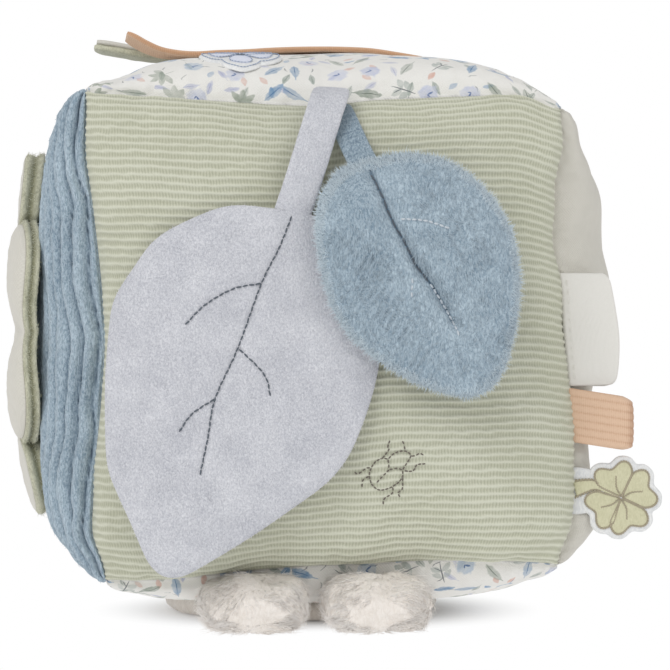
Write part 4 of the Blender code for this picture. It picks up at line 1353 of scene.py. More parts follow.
        skirt = np.stack((links[:-1], links[1:], after[1:], after[:-1]), -1).reshape(-1, 4)
        pole = np.full(loop, start + len(rings) * loop)
        tris = np.stack((links[-1], pole, after[-1]), 1)
        uv = np.vstack((place.reshape(-1, 2), np.tile(place.reshape(-1, 2)[edge], (len(rings), 1)),
                        np.zeros((1, 2))))
        points = np.vstack((outer.reshape(-1, 3), *rings, middle)) + MIDDLE
        groove = np.concatenate((groove.ravel(), np.zeros(len(points) - start)))
        shape = Shape(points, np.vstack((grid_quads(rows, cols), skirt)), tris, uv, groove)
        piece(panel.name, shape, panel.finish, "block", [panel.name])
        if panel.cover is Cover.WALES:
            random = np.random.default_rng(panel.seed)
            row, col = random.integers(3, (rows - 3, cols - 3), (self.fuzz, 2)).T
            crest = groove[:start].reshape(rows, cols)[row, col] < 0.1
            row, col = row[crest], col[crest]
            roots = outer[row, col] + random.normal(0, 0.15, (len(row), 3)) + MIDDLE
            comb = np.stack((np.zeros(len(roots)), 1.1 * ripple(roots, 9, 77),
                             -0.5 + 1.1 * ripple(roots, 11, 78)), 1)
            made = pelt(roots, normal[row, col], comb, (0.5, 1.2), 0.07, 0.4, 79)
            piece(panel.name + "_fuzz", made, BLUE_TIPS, "block")

    def build_filling(self) -> None:
        """Two portions of fibre filling: the cube's own form, cut at mid height, round the rattle."""
        front, back, left, right, top, bottom = self.panels()
        steps, ones = np.linspace(-1, 1, 17)[:-1], np.ones(16)
        edge_u = np.concatenate((steps, ones, -steps, -ones))
        edge_v = np.concatenate((-ones, steps, ones, -steps))
        levels = (0.25, 0.5, 0.75, 0.93, 0.985)
        for name, side, lid in (("filling_upper", 1, top), ("filling_lower", -1, bottom)):
            rings = [np.vstack([self.face(wall, steps, np.full(16, side * level), self.filling_slack)
                                for wall in (front, right, back, left)]) for level in (0.002, *levels)]
            rings += [self.face(lid, edge_u * level, side * edge_v * level, self.filling_slack)
                      for level in levels[::-1]]
            outer = np.stack(rings) * (1 - self.filling_inset / self.half)
            angle = np.arctan2(outer[0, :, 1], outer[0, :, 0])
            around = np.stack((np.cos(angle), np.sin(angle), np.zeros_like(angle)), 1)
            dish = [around * self.rattle_room * math.cos(a)
                    + Z * side * (self.filling_cut + self.rattle_room * math.sin(a))
                    for a in (1.3, 0.9, 0.45, 0.0)]
            flat = outer[0] * np.array((1, 1, 0)) + Z * side * self.filling_cut
            rings = np.vstack((np.stack(dish), flat[None] * np.array((0.5, 0.5, 1)), flat[None], outer[1:]))
            piece(name, Shape.rings(rings + MIDDLE), WADDING, "block", [name])

    def build(self) -> None:
        """The panels, the filling, and better finishes on the rattle inside."""
        self.stuff()
        for panel in self.panels():
            self.build_panel(panel)
        self.build_filling()
        for name, finish in (("rattle_cup_upper", ABS), ("rattle_cup_lower", ABS), ("rattle_pellet", STEEL)):
            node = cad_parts[name]
            node.data.materials.clear()
            node.data.materials.append(finish.material())

    def surface(self, panel_name: str, points: Array) -> Array:
        """Lays points on a panel's face, wrinkles and all, by a few rounds of finding their shares.

        Args:
            panel_name: The panel.
            points: Places from the block's middle.

        Returns:
            The places, moved in or out to the face.
        """
        panel = next(p for p in self.panels() if p.name == panel_name)
        across, up, out = panel.axes()
        along, height = points @ across, points @ up
        v = height / self.half
        for _ in range(8):
            u = np.clip(along / (self.half - self.bow * (1 - v * v)), -1, 1)
            v = np.clip(height / (self.half - self.bow * (1 - u * u)), -1, 1)
        level = self.face(panel, u, v) @ out
        shares, runs = self.spread(panel.rise, 600)
        lean, leaned = self.spread(panel.rise, 600, self.knit_flat if panel.cover is Cover.RIBS else 0.0)
        place = np.stack((np.interp(u, shares, runs), np.interp(v, lean, leaned)), -1)
        level = level + self.relief(panel, place, (runs[-1], leaned[-1]), False)[0]
        if self.moves:
            shares = self.cage_of(panel)[0]
            rows, cols = netting(np.ravel(u), shares), netting(np.ravel(v), shares)
            moved = np.einsum("pi,ij,pj->p", rows, self.moves[panel_name] @ out, cols)
            level = level + moved.reshape(level.shape)
        return points + (level - points @ out)[..., None] * out


# The leaves


@dataclass
class Leaf:
    """A fabric leaf: two layers of pile cloth sewn at their rim round a thin inlay."""

    name: str
    body: str
    finish: Finish
    inlay: str
    inlay_finish: Finish
    outline: Sequence[tuple[float, float]]
    top: tuple[float, float]
    lean: float
    plane: float
    layer: float
    gap: float
    puff: float
    steps: int
    rings: int
    crease: Sequence[tuple[float, float]]
    crease_depth: float
    crease_width: float
    veins: Sequence[tuple[Finish, float, Sequence[tuple[float, float]]]]
    seed: int
    tips: Finish
    nap: int
    nap_length: tuple[float, float]
    # The fringe over the rim has this share of the nap's number of fibres.
    fringe_share: float = 0.9
    fringe_radius: float = 0.085
    nap_radius: float = 0.09
    seam_waves: float = 26.0

    def rim(self) -> Array:
        """The leaf's outline with its corners rounded."""
        return rounded(through(self.outline, self.steps, closed=True), self.seam_waves)

    def own_place(self, flat: Array) -> tuple[Array, Array]:
        """Flat places as lengths down the leaf's axis and beside it.

        Args:
            flat: The flat places.

        Returns:
            How far each lies down the axis from the leaf's top, and how far left of the axis.
        """
        lean, from_top = math.radians(self.lean), flat - np.array(self.top)
        return (from_top @ np.array((-math.sin(lean), -math.cos(lean))),
                from_top @ np.array((-math.cos(lean), math.sin(lean))))

    def from_crease(self, flat: Array) -> Array:
        """How far a flat place lies from the midrib's crease."""
        return away(flat, through(self.crease, 40))

    def upright(self, flat: Array, before: Array) -> Array:
        """Flat places stood up in the leaf's plane, or some way before it."""
        y = self.plane + self.back_by(flat) - before
        return np.stack((flat[..., 0], y, flat[..., 1] + MIDDLE[2]), -1)

    def back_by(self, flat: Array) -> Array:
        """How far the leaf bends back at a flat place."""
        return np.zeros(flat.shape[:-1])

    def front_height(self, flat: Array, share: Array) -> Array:
        """How far the front face stands before the leaf's middle plane.

        The layer rounds off at the rim, the padding swells as a shallow dome, and the crease is a
        valley along the midrib.

        Args:
            flat: The flat places.
            share: How far from the middle to the rim each lies.

        Returns:
            The heights.
        """
        dome = np.sqrt(np.maximum(1 - share ** 2.2, 0))
        edge = np.sqrt(np.maximum(1 - share ** 14, 0))
        valley = self.crease_depth * np.exp(-(self.from_crease(flat) / self.crease_width) ** 2)
        lumps = 0.2 * ripple(flat, 9, self.seed) + 0.10 * ripple(flat, 2.6, self.seed + 1, 14)
        return self.gap + (self.layer + lumps - valley * edge) * edge + self.puff * dome

    def layer_shape(self, sign: float) -> Shape:
        """One layer: rings shrink from the rim to the middle on its face, and again on its inside.

        Args:
            sign: 1 for the front layer, -1 for the back one.

        Returns:
            The closed layer.
        """
        face = np.sin(np.linspace(0.02, math.pi / 2, self.rings))
        shares = np.concatenate((face, [0.995, 0.9, 0.6, 0.25]))
        front = np.arange(len(shares)) < self.rings
        flat, share = shrunk(self.rim(), shares)
        height = self.front_height(flat, share) if sign > 0 else (
            self.gap + (self.layer + 0.1 * ripple(flat, 8, self.seed + 5)) * np.sqrt(1 - share ** 14))
        depth = np.where(front[:, None], height, self.gap * 0.6)
        # Painted shade along the midrib's crease on the front face, where the crease is deep.
        groove = np.exp(-(self.from_crease(flat) / 0.45) ** 2) * front[:, None] * (sign > 0)
        return Shape.rings(self.upright(flat, sign * depth), flat, groove * (self.crease_depth > 0.5))

    def on_face(self, line: Array) -> Array:
        """Lays a flat line on the leaf's front face.

        Args:
            line: The line's flat points.

        Returns:
            Their places on the face.
        """
        rim = self.rim()
        middle = rim.mean(0)
        turn = np.arctan2(*(rim - middle).T[::-1])
        order = np.argsort(turn)
        reach = np.linalg.norm(rim - middle, axis=1)[order]
        at = np.arctan2(*(line - middle).T[::-1])
        share = np.linalg.norm(line - middle, axis=1) / np.interp(at, turn[order], reach, period=math.tau)
        return self.upright(line, self.front_height(line, np.clip(share, 0, 1)))

    def build(self) -> None:
        """The two layers, the inlay and the stitched veins."""
        piece(self.name + "_front", self.layer_shape(1), self.finish, self.body, [self.name + "_front"])
        piece(self.name + "_back", self.layer_shape(-1), self.finish, self.body, [self.name + "_back"])
        rim = rounded(through(self.outline, 90, closed=True), 20.0)
        flat, _ = shrunk(rim, np.array((0.05, 0.35, 0.65, 0.9, 0.9, 0.65, 0.35, 0.05)))
        side = np.array((1, 1, 1, 0.6, -0.6, -1, -1, -1))[:, None] * self.gap * 0.4
        inlay = Shape.rings(self.upright(flat, side), flat)
        piece(self.inlay, inlay, self.inlay_finish, self.body, [self.inlay])
        for number, (thread, length, line) in enumerate(self.veins):
            path = self.on_face(through(line, 60))
            radius = 0.30 if thread is PALE_THREAD else 0.25
            row = stitches(path - Y * 0.2, -Y, length, 0.12, radius, 0.10)
            piece(f"{self.name}_vein_{number + 1}", row, thread, self.body)
        self.build_nap()

    def build_nap(self) -> None:
        """Short fibres: a fringe over the rim, painted in the tips' light colour as a highlight, and a nap
        over the face that is combed in patches.
        """
        rim = self.rim()
        middle = rim.mean(0)
        radial = unit(rim - middle)
        random = np.random.default_rng(self.seed + 8)
        count = int(self.nap * self.fringe_share)
        pick = random.integers(0, len(rim), count)
        share = random.uniform(0.90, 0.995, (count, 1))
        flat = middle + (rim[pick] - middle) * share + random.normal(0, 0.1, (count, 2))
        comb = np.insert(radial[pick], 1, 0.0, axis=1) + random.normal(0, 0.3, (count, 3))
        outward = unit(np.insert(radial[pick] * 0.5, 1, -1.0, axis=1))
        made = pelt(self.on_face(flat), outward, comb, self.nap_length, self.fringe_radius, 0.2,
                    self.seed + 7)
        # Painted highlight: the fringe takes only the tips' light colour.
        highlighted_tips = replace(self.tips, name=self.tips.name + "_rim", dark=self.tips.light)
        piece(self.name + "_fringe", made, highlighted_tips, self.body)
        pick = random.integers(0, len(rim), self.nap)
        share = np.sqrt(random.uniform(0, 0.985, self.nap))[:, None]
        flat = middle + (rim[pick] - middle) * share
        clear = self.from_crease(flat) > 1.0
        for _, _, line in self.veins:
            clear &= away(flat, np.asarray(line, float)) > 0.9
        flat, share, pick = flat[clear], share[clear], pick[clear]
        outward = unit(np.insert(radial[pick] * share ** 8, 1, -1.0, axis=1))
        comb = np.stack((ripple(flat, 30, self.seed + 9), np.zeros(len(flat)),
                         -0.8 + ripple(flat, 26, self.seed + 10)), 1)
        made = pelt(self.on_face(flat), outward, comb, self.nap_length, self.nap_radius, 0.28, self.seed + 11)
        piece(self.name + "_nap", made, self.tips, self.body)


@dataclass
class LargeLeaf(Leaf):
    """The velour leaf at the back, whose left side droops."""

    curl: float = 3.5
    half_width: float = 36.5

    def back_by(self, flat: Array) -> Array:
        """The left side bends back with the square of its distance from the leaf's axis."""
        return self.curl * (np.maximum(self.own_place(flat)[1], 0) / self.half_width) ** 2


@dataclass
class SmallLeaf(Leaf):
    """The padded plush leaf in front, whose upper end bends back to its strap."""

    bend: float = 6.0
    bend_share: float = 0.18
    curl: float = 0.8
    length: float = 69.0
    half_width: float = 25.4
    crinkle_pitch: float = 2.4
    crinkle_height: float = 0.3

    def back_by(self, flat: Array) -> Array:
        """The upper end bends back with the square of what is left to it, and the sides a little.

        Args:
            flat: The flat places.

        Returns:
            How far each lies behind the leaf's plane.
        """
        along, side = self.own_place(flat)
        upper = np.maximum(1 - along / self.length / self.bend_share, 0)
        return self.bend * upper ** 2 + self.curl * (side / self.half_width) ** 2

    def front_height(self, flat: Array, share: Array) -> Array:
        """The face also has a band of crinkles down its left half, as sin(tau way / pitch) in a bell.

        Args:
            flat: The flat places.
            share: How far from the middle to the rim each lies.

        Returns:
            The heights.
        """
        along, side = self.own_place(flat)
        band = np.exp(-((side - 14 - 2 * ripple(flat, 14, 33)) / 4.5) ** 2) * smooth(8, 18, along)
        way = (along - 0.5 * side) * math.tau / self.crinkle_pitch
        crinkle = self.crinkle_height * np.sin(way + 1.3 * ripple(flat, 7, 34))
        return super().front_height(flat, share) + crinkle * band * smooth(1.0, 0.85, share)


@dataclass
class Leaves:
    """Both leaves and the straps that hang them from the seam above."""

    seam: tuple[float, float, float] = (1.5, -62.98, 144.98)
    strap_width: float = 10.0
    small_strap_width: float = 7.7
    large_lean: float = 19.6
    small_lean: float = -28.3
    wrinkle_pitch: float = 1.9

    def large(self) -> LargeLeaf:
        """The large leaf, with its outline seen from the front.

        Returns:
            The leaf, not built yet.
        """
        outline = ((-15.8, 33.0), (-27.1, 34.0), (-35.3, 31.6), (-47.3, 25.4), (-53.5, 17.4), (-59.0, 8.6),
                   (-60.3, -0.2), (-61.2, -12.5), (-61.2, -26.1), (-60.6, -36.2), (-57.7, -43.7),
                   (-54.3, -51.2), (-50.3, -60.6), (-48.2, -63.8), (-45.0, -65.8), (-40.7, -65.6),
                   (-35.4, -62.7), (-29.7, -59.4), (-20.1, -53.4), (-10.0, -46.4), (-1.9, -40.4),
                   (3.7, -33.7), (7.6, -24.9), (10.6, -15.8), (12.6, -5.6), (13.2, 5.0), (10.6, 16.0),
                   (4.6, 25.4), (-5.0, 31.2))
        return LargeLeaf(
            "large_leaf", "large_leaf", LAVENDER, "large_leaf_crinkle_film", FILM, outline,
            top=(-10.4, 31.8), lean=self.large_lean, plane=-82.25, layer=1.35, gap=0.4, puff=0.8,
            steps=360, rings=64, tips=LAVENDER_TIPS, nap=5200, nap_length=(0.4, 0.9),
            crease=((-11.4, 31.8), (-14.8, 22.5), (-19.6, 12.8), (-25.8, -4.2), (-31.9, -17.8),
                    (-35.9, -38.1)),
            crease_depth=0.25, crease_width=1.2, seed=21,
            veins=(
                (DARK_THREAD, 1.5, ((-11.4, 31.0), (-14.8, 22.5), (-19.6, 12.8), (-25.8, -4.2),
                                    (-31.9, -17.8), (-33.8, -28.0), (-35.9, -38.1))),
                (DARK_THREAD, 1.5, ((-19.6, 13.0), (-27.1, 11.5), (-34.6, 7.2), (-39.9, 1.9))),
                (DARK_THREAD, 1.5, ((-25.5, -4.5), (-20.2, -9.6), (-18.0, -13.0), (-17.2, -17.1))),
                (DARK_THREAD, 1.5, ((-32.0, -17.8), (-38.0, -21.8), (-41.5, -26.6))),
            ),
        )

    def small(self) -> SmallLeaf:
        """The small leaf, with its outline seen from the front.

        Returns:
            The leaf, not built yet.
        """
        outline = ((2.5, 44.2), (-1.5, 40.2), (-4.2, 35.1), (-5.2, 28.4), (-4.2, 19.1), (-1.5, 8.5),
                   (2.5, 0.6), (7.8, -4.7), (14.5, -9.5), (22.5, -14.0), (30.5, -16.6), (35.8, -17.3),
                   (41.2, -15.2), (44.8, -10.1), (47.2, -2.1), (48.9, 8.6), (48.9, 16.5), (47.2, 25.9),
                   (43.8, 32.7), (38.5, 39.4), (31.8, 44.5), (25.1, 47.1), (17.1, 47.8), (10.5, 46.2))
        return SmallLeaf(
            "small_leaf", "small_leaf", BLUE_PLUSH, "small_leaf_wadding", WADDING, outline,
            top=(8.0, 44.7), lean=self.small_lean, plane=-88.6, layer=1.5, gap=0.9, puff=1.9,
            steps=360, rings=80, tips=BLUE_TIPS, nap=9500, nap_length=(1.0, 2.1),
            crease=((9.3, 43.0), (12.2, 36.4), (14.9, 29.7), (18.3, 23.7), (21.3, 17.8), (26.1, 11.5),
                    (31.1, 2.7)),
            crease_depth=2.1, crease_width=1.8, seed=31,
            veins=(
                (DARK_THREAD, 2.6, ((9.6, 42.0), (12.2, 36.4), (14.9, 29.7), (18.3, 23.7), (21.3, 17.8),
                                    (24.6, 13.4))),
                (PALE_THREAD, 1.4, ((25.0, 12.9), (28.0, 8.2), (31.1, 2.7), (32.6, -0.9))),
                (PALE_THREAD, 1.3, ((17.0, 30.0), (23.7, 29.5), (30.0, 27.5))),
                (PALE_THREAD, 1.3, ((20.2, 14.6), (19.9, 9.0))),
            ),
        )

    def build_straps(self) -> None:
        """The two straps: flat sections carried along arching lines, blended where they bend."""
        seam = np.array(self.seam)
        top, lean = np.array((-10.9, -82.4, 114.6)), math.radians(self.large_lean)
        down = np.array((-math.sin(lean), 0, -math.cos(lean)))
        start = seam + Z * 0.9 - X * 0.6
        path = arched((start, start - Y * 15 + Z * 9, top - down * 18, top + down * 1.2), 60)
        t = np.linspace(0, 1, 60)[:, None]
        side = X * (1 - t) + np.array((math.cos(lean), 0, -math.sin(lean))) * t
        pinch = np.stack((0.72 + 0.28 * smooth(0, 0.3, t[:, 0]), np.ones(60)), 1)
        shape = swept(path, side, strip(self.strap_width, 1.5, 17), pinch)
        outward = unit(shape.points - shape.points.mean(0))
        shape.points += outward * 0.06 * ripple(shape.points, 3.0, 51)[:, None]
        bend = Bend("block", path[0], path[16])
        piece("large_leaf_strap", shape, LAVENDER, "large_leaf", ["large_leaf_strap"], bend=bend)
        across = unit(side[2:-2])
        above = np.cross(across, unit(np.gradient(path, axis=0))[2:-2]) * 0.72 * pinch[2:-2, :1]
        rows = [stitches(path[2:-2] + across * shift + above, -Y + Z * 0.6, 1.7, 0.9, 0.16)
                for shift in (-3.9, 3.9)]
        piece("large_leaf_strap_stitching", Shape.joined(rows), PALE_THREAD, "large_leaf", bend=bend)
        lean = math.radians(self.small_lean)
        down = unit(np.array((-math.sin(lean), -0.966, -math.cos(lean))))
        top = np.array((7.9, -82.3, 127.2))
        start = seam - Z * 1.0
        path = arched((start, start - Y * 10.5, top - down * 7, top + down * 1.6), 50)
        t = np.linspace(0, 1, 50)[:, None]
        side = X * (1 - t) + np.array((math.cos(lean), 0, -math.sin(lean))) * t
        shape = swept(path, side, strip(self.small_strap_width, 1.3, 15))
        phase = shape.uv[:, 1] * math.tau / self.wrinkle_pitch
        wrinkle = 0.10 * np.sin(phase + ripple(shape.points, 9, 53))
        shape.points -= Y * wrinkle[:, None]
        # Painted shade in the wrinkles' hollows, through the groove attribute.
        shape.groove = 0.15 - 0.15 * np.sin(phase)
        solids = ["small_leaf_strap_upper", "small_leaf_strap_lower"]
        bend = Bend("large_leaf", path[33], path[44])
        piece("small_leaf_strap", shape, BLUE_PLUSH, "small_leaf", solids, bend=bend)

    def build(self) -> None:
        """Both leaves and their straps."""
        self.large().build()
        self.small().build()
        self.build_straps()


def heart(reach: float, half_turn: float, notch: float, sides: float, root: float, steps: int) -> Array:
    """A heart's flat outline, whose narrow end lies towards the origin.

    Its far side is reach (1 - notch cos(pi u / 2)^6 - sides |u|^4) at the angle u half_turn, for u
    from -1 to 1.

    Args:
        reach: How far it reaches from the origin.
        half_turn: Half the angle that it fills.
        notch: The share that it dips by at its middle.
        sides: The share that it falls by at both sides.
        root: Where its narrow end is cut off.
        steps: How many points go round it.

    Returns:
        The outline, evenly spaced and with its corners rounded.
    """
    u = np.linspace(-1, 1, 120)
    far = reach * (1 - notch * np.cos(math.pi * u / 2) ** 6 - sides * np.abs(u) ** 4)
    turn = u * half_turn
    line = np.stack((far * np.cos(turn), far * np.sin(turn) - 0.0095 * reach * u), 1)
    near = root * np.array(((1.045, 0.72), (1.0, 0.0), (1.045, -0.72)))
    line = np.vstack((line, near, line[:1]))
    run = travelled(line)
    return rounded(read_at(line, run, np.linspace(0, run[-1], steps, endpoint=False)), 17.0)


def turned(flat: Array, angle: float) -> Array:
    """Flat places turned about the origin."""
    c, s = math.cos(angle), math.sin(angle)
    return flat @ np.array(((c, s), (-s, c)))


# The clover on the left side


@dataclass
class Clover:
    """Four padded heart petals, cream outside and sage velour inside, sewn down at a round patch."""

    radius: float = 53.0
    root: float = 8.8
    notch: float = 0.14
    sides: float = 0.17
    level: float = 87.0
    backing: float = 1.75
    middle: tuple[float, float] = (30.0, 0.0)
    steps: int = 200
    fuzz: int = 2600
    # The hub patch as pairs of a radius and a distance out from the block's middle.
    hub: tuple[tuple[float, float], ...] = ((2.0, 84.4), (7.9, 84.4), (8.2, 84.8), (8.2, 85.6), (7.6, 86.1),
                                            (5.6, 86.5), (2.5, 86.6))
    sewn_radius: float = 6.4
    sewn_out: float = 86.4

    def petal(self, name: str, direction: Array, radius: float, tuck: float, puff: float,
              rim_depth: float, dip: float = 0.0) -> None:
        """One petal: a swelled cream face before a velour backing with two ridges round its rim.

        Args:
            name: Where it points, by name.
            direction: The way that it points.
            radius: How far it reaches from the middle of the clover.
            tuck: How far its rim bends to the block.
            puff: How far its cream face swells.
            rim_depth: How much thicker its rim is than its root.
            dip: How far it sags along its axis.
        """
        across = np.cross(-X, direction)
        rim = heart(radius, math.pi / 4, self.notch, self.sides, self.root, self.steps)
        middle = np.array(self.middle)

        def placed(flat: Array, depth: Array) -> Array:
            """Stands flat places on the petal, which bends to the block at its rim.

            Args:
                flat: The flat places, along the petal and across it.
                depth: How far out from the petal's level they lie.

            Returns:
                The places.
            """
            reach = np.linalg.norm(flat, axis=-1)
            bent = tuck * (np.maximum(reach - 38, 0) / (radius - 39)) ** 1.5
            sag = np.exp(-np.abs(flat[..., 1]) / 6) * smooth(10, 24, reach) * smooth(56, 44, reach)
            sunk = 1.3 * smooth(30, 8, reach) + dip * sag
            out = self.level - (reach / self.radius) ** 2 - bent + depth - sunk
            return MIDDLE + flat[..., :1] * direction + flat[..., 1:] * across - out[..., None] * X

        inward = np.sin(np.linspace(0.03, math.pi / 2, 34))
        flat, share = shrunk(rim, np.concatenate((inward, [0.99, 0.8, 0.4])), middle)
        fold = np.exp(-np.abs(flat[..., 1] / 7) ** 1.3) * smooth(8, 40, flat[..., 0])
        dome = (puff - puff * fold) * np.sqrt(np.maximum(1 - share ** 2.4, 0))
        pucker = 0.1 * ripple(flat, 7, 61) + 0.05 * ripple(flat, 3, 62)
        layer = min(1.0, 0.3 + puff) - 0.3 * puff * fold + pucker
        depth = np.where(np.arange(len(share))[:, None] < len(inward),
                         0.55 + layer * np.sqrt(1 - share ** 16) + dome, 0.5)
        body = f"clover_petal_{name}"
        piece(f"{body}_outer", Shape.rings(placed(flat, depth), flat), CREAM, body, [f"{body}_outer"])
        turn = np.linspace(0, math.pi, 21)
        far = smooth(26, 46, np.linalg.norm(rim, axis=1))
        low = -self.backing - rim_depth * far
        level = (0.5 + low) / 2 + (0.5 - low) / 2 * np.cos(turn)[:, None]
        edge, _ = shrunk(rim, 1.0 + 0.035 * np.abs(np.sin(turn * 2)) + 0.008 * np.sin(turn), middle)
        above, _ = shrunk(rim, np.array((0.25, 0.6, 0.9)), middle)
        below = above[::-1]
        deep = rim_depth * smooth(26, 46, np.linalg.norm(below, axis=-1))
        under = -self.backing - deep * np.array((0.85, 0.5, 0.2))[:, None]
        places = np.vstack((placed(above, np.full(above.shape[:2], 0.45)), placed(edge, level),
                            placed(below, under)))
        # Painted shade in the groove between the rim's two ridges, read by the velour's finish.
        between_ridges_shade = np.abs(np.cos(turn * 2))[:, None] ** 3 * np.sin(turn)[:, None]
        groove = np.pad(np.broadcast_to(between_ridges_shade, (21, len(rim))), ((3, 3), (0, 0)))
        uv = np.vstack((above, edge, below))
        piece(f"{body}_backing", Shape.rings(places, uv, groove), SAGE_VELOUR, body, [f"{body}_backing"])
        random = np.random.default_rng(63)
        row, column = random.integers(3, 18, self.fuzz), random.integers(0, len(rim), self.fuzz)
        row, column = row[far[column] > 0.02], column[far[column] > 0.02]
        radial = unit(rim - middle)[column]
        outward = (radial[:, :1] * direction + radial[:, 1:] * across) * np.sin(turn[row])[:, None]
        outward -= X * np.cos(turn[row])[:, None]
        comb = random.normal(0, 1, outward.shape)
        fuzz = pelt(places[row + 3, column], outward, comb, (0.6, 1.7), 0.08, 1.3, 64)
        piece(f"{body}_fuzz", fuzz, SAGE_FUZZ, body)

    def build(self) -> None:
        """The petals, and the patch with its ring of stitches."""
        self.petal("up", Z, 55.3, 1.4, 0.0, 3.4)
        self.petal("down", -Z, 57.0, 4.6, 0.0, 3.4)
        self.petal("front", -Y, 53.0, 3.0, 2.3, 1.6, 1.5)
        self.petal("back", Y, 53.0, 0.8, 1.8, 2.4, 1.0)
        ring = np.insert(circle(48), 0, 0.0, axis=1)
        rings = np.stack([ring * radius - X * out for radius, out in self.hub]) + MIDDLE
        uv = np.stack([ring[:, 1:] * radius for radius, _ in self.hub])
        piece("clover_hub", Shape.rings(rings, uv), CREAM, "block", ["clover_hub"])
        loop = shut(ring) * self.sewn_radius - X * self.sewn_out + MIDDLE
        piece("clover_hub_stitching", stitches(loop, -X, 1.6, 0.6, 0.22), DARK_THREAD, "block")


# The tags in the right front seam


def folded(root: Array, run: Array, out: Array, side: Array, lengths: Array, width: float, layer: float,
           gap: float, ribs: int = 0, rib_height: float = 0.0) -> Shape:
    """A tape folded back on itself: one layer runs out, round the fold and back, swept across its width.

    Args:
        root: Where its two ends are sewn, at mid width.
        run: The way that it sticks out.
        out: The way across its thickness.
        side: The way across its width.
        lengths: How far it sticks out, at even steps of its width.
        width: How wide the tape is.
        layer: How thick it is.
        gap: The room between its two layers at the fold.
        ribs: How many ribs run along the tape.
        rib_height: How high they stand.

    Returns:
        The closed surface.
    """
    steps = np.linspace(0, math.pi / 2, 14)
    tip = layer + gap / 2
    straight = np.stack((np.linspace(0, 1, 14)[:-1], layer + gap / 2 * np.sin(steps[:-1])), 1)
    bend = np.linspace(math.pi / 2, -math.pi / 2, 15)
    turns = len(lengths)
    rows = []
    for inner in (False, True):
        reach = tip - layer if inner else tip
        s = np.concatenate((straight[:, 0], np.ones(15), straight[::-1, 0]))
        extra = np.concatenate((np.zeros(13), reach * np.cos(bend), np.zeros(13)))
        lift = np.concatenate((straight[:, 1] - layer * inner, reach * np.sin(bend),
                               -(straight[::-1, 1] - layer * inner)))
        lift = lift + np.where(inner, np.sign(lift + 1e-9) * 0.03, 0)
        rows.append((s, extra, lift))
    across = np.linspace(-width / 2, width / 2, turns)
    wave = (1 - np.abs(np.sin(math.pi * ribs * (across / width + 0.5)))) ** 1.3 if ribs else np.zeros(turns)
    rings = []
    for index in range(turns):
        loop = []
        for inner, (s, extra, lift) in zip((False, True), rows):
            thin = 1 - (0 if inner else rib_height * wave[index] / tip)
            places = (root + run * ((lengths[index] - tip) * s + extra * thin)[:, None]
                      + out * (lift * thin)[:, None] + side * across[index])
            loop.append(places if not inner else places[::-1])
        rings.append(np.vstack(loop))
    rings = np.stack(rings)
    outer, inner = (s * lengths.mean() + extra for s, extra, _ in rows)
    uv = np.stack(np.broadcast_arrays(across[:, None], np.concatenate((outer, inner[::-1]))[None]), -1)
    groove = np.broadcast_to(wave[:, None], rings.shape[:2])
    count = rings.shape[1]
    step = np.arange(count // 2 - 1)
    cap = np.stack((step, step + 1, count - 2 - step, count - 1 - step), 1)
    quads = np.vstack((grid_quads(turns, count, True), cap[:, ::-1], cap + (turns - 1) * count))
    return Shape(rings.reshape(-1, 3), quads, uv=uv.reshape(-1, 2).astype(float),
                 groove=groove.ravel().astype(float))


def patch(outline: Array, thickness: float, dome: float, rings: int = 14) -> tuple[Array, Array]:
    """A thin cushion over a flat outline, thickness (1 - share^12)^0.4 + dome (1 - share^2) high.

    Args:
        outline: The outline about the origin.
        thickness: How high the cushion's edge stands.
        dome: How much higher its middle stands.
        rings: How many rings its upper face has.

    Returns:
        Rings of flat places, and their heights above the underside.
    """
    shares = np.concatenate((np.sin(np.linspace(0.04, math.pi / 2, rings)), [0.98, 0.6]))
    flat = outline[None] * shares[:, None, None]
    share = np.broadcast_to(shares[:, None], flat.shape[:2])
    top = thickness * np.maximum(1 - share ** 12, 0) ** 0.4 + dome * (1 - share ** 2)
    return flat, np.where(np.arange(len(shares))[:, None] < rings, np.maximum(top, 0.12), 0.0)


def raised(line: Array, thickness: float, dome: float, rings: int, level: float,
           placed: Callable[[Array, Array], Array]) -> Shape:
    """A thin cushion over a flat outline that lies on a patch.

    Args:
        line: The outline.
        thickness: How high the cushion's edge stands.
        dome: How much higher its middle stands.
        rings: How many rings its upper face has.
        level: How high on the patch its underside lies.
        placed: Stands flat places with heights on the patch.

    Returns:
        The closed cushion.
    """
    centre = line.mean(0)
    flat, height = patch(line - centre, thickness, dome, rings)
    return Shape.rings(placed(flat + centre, height + level), flat)


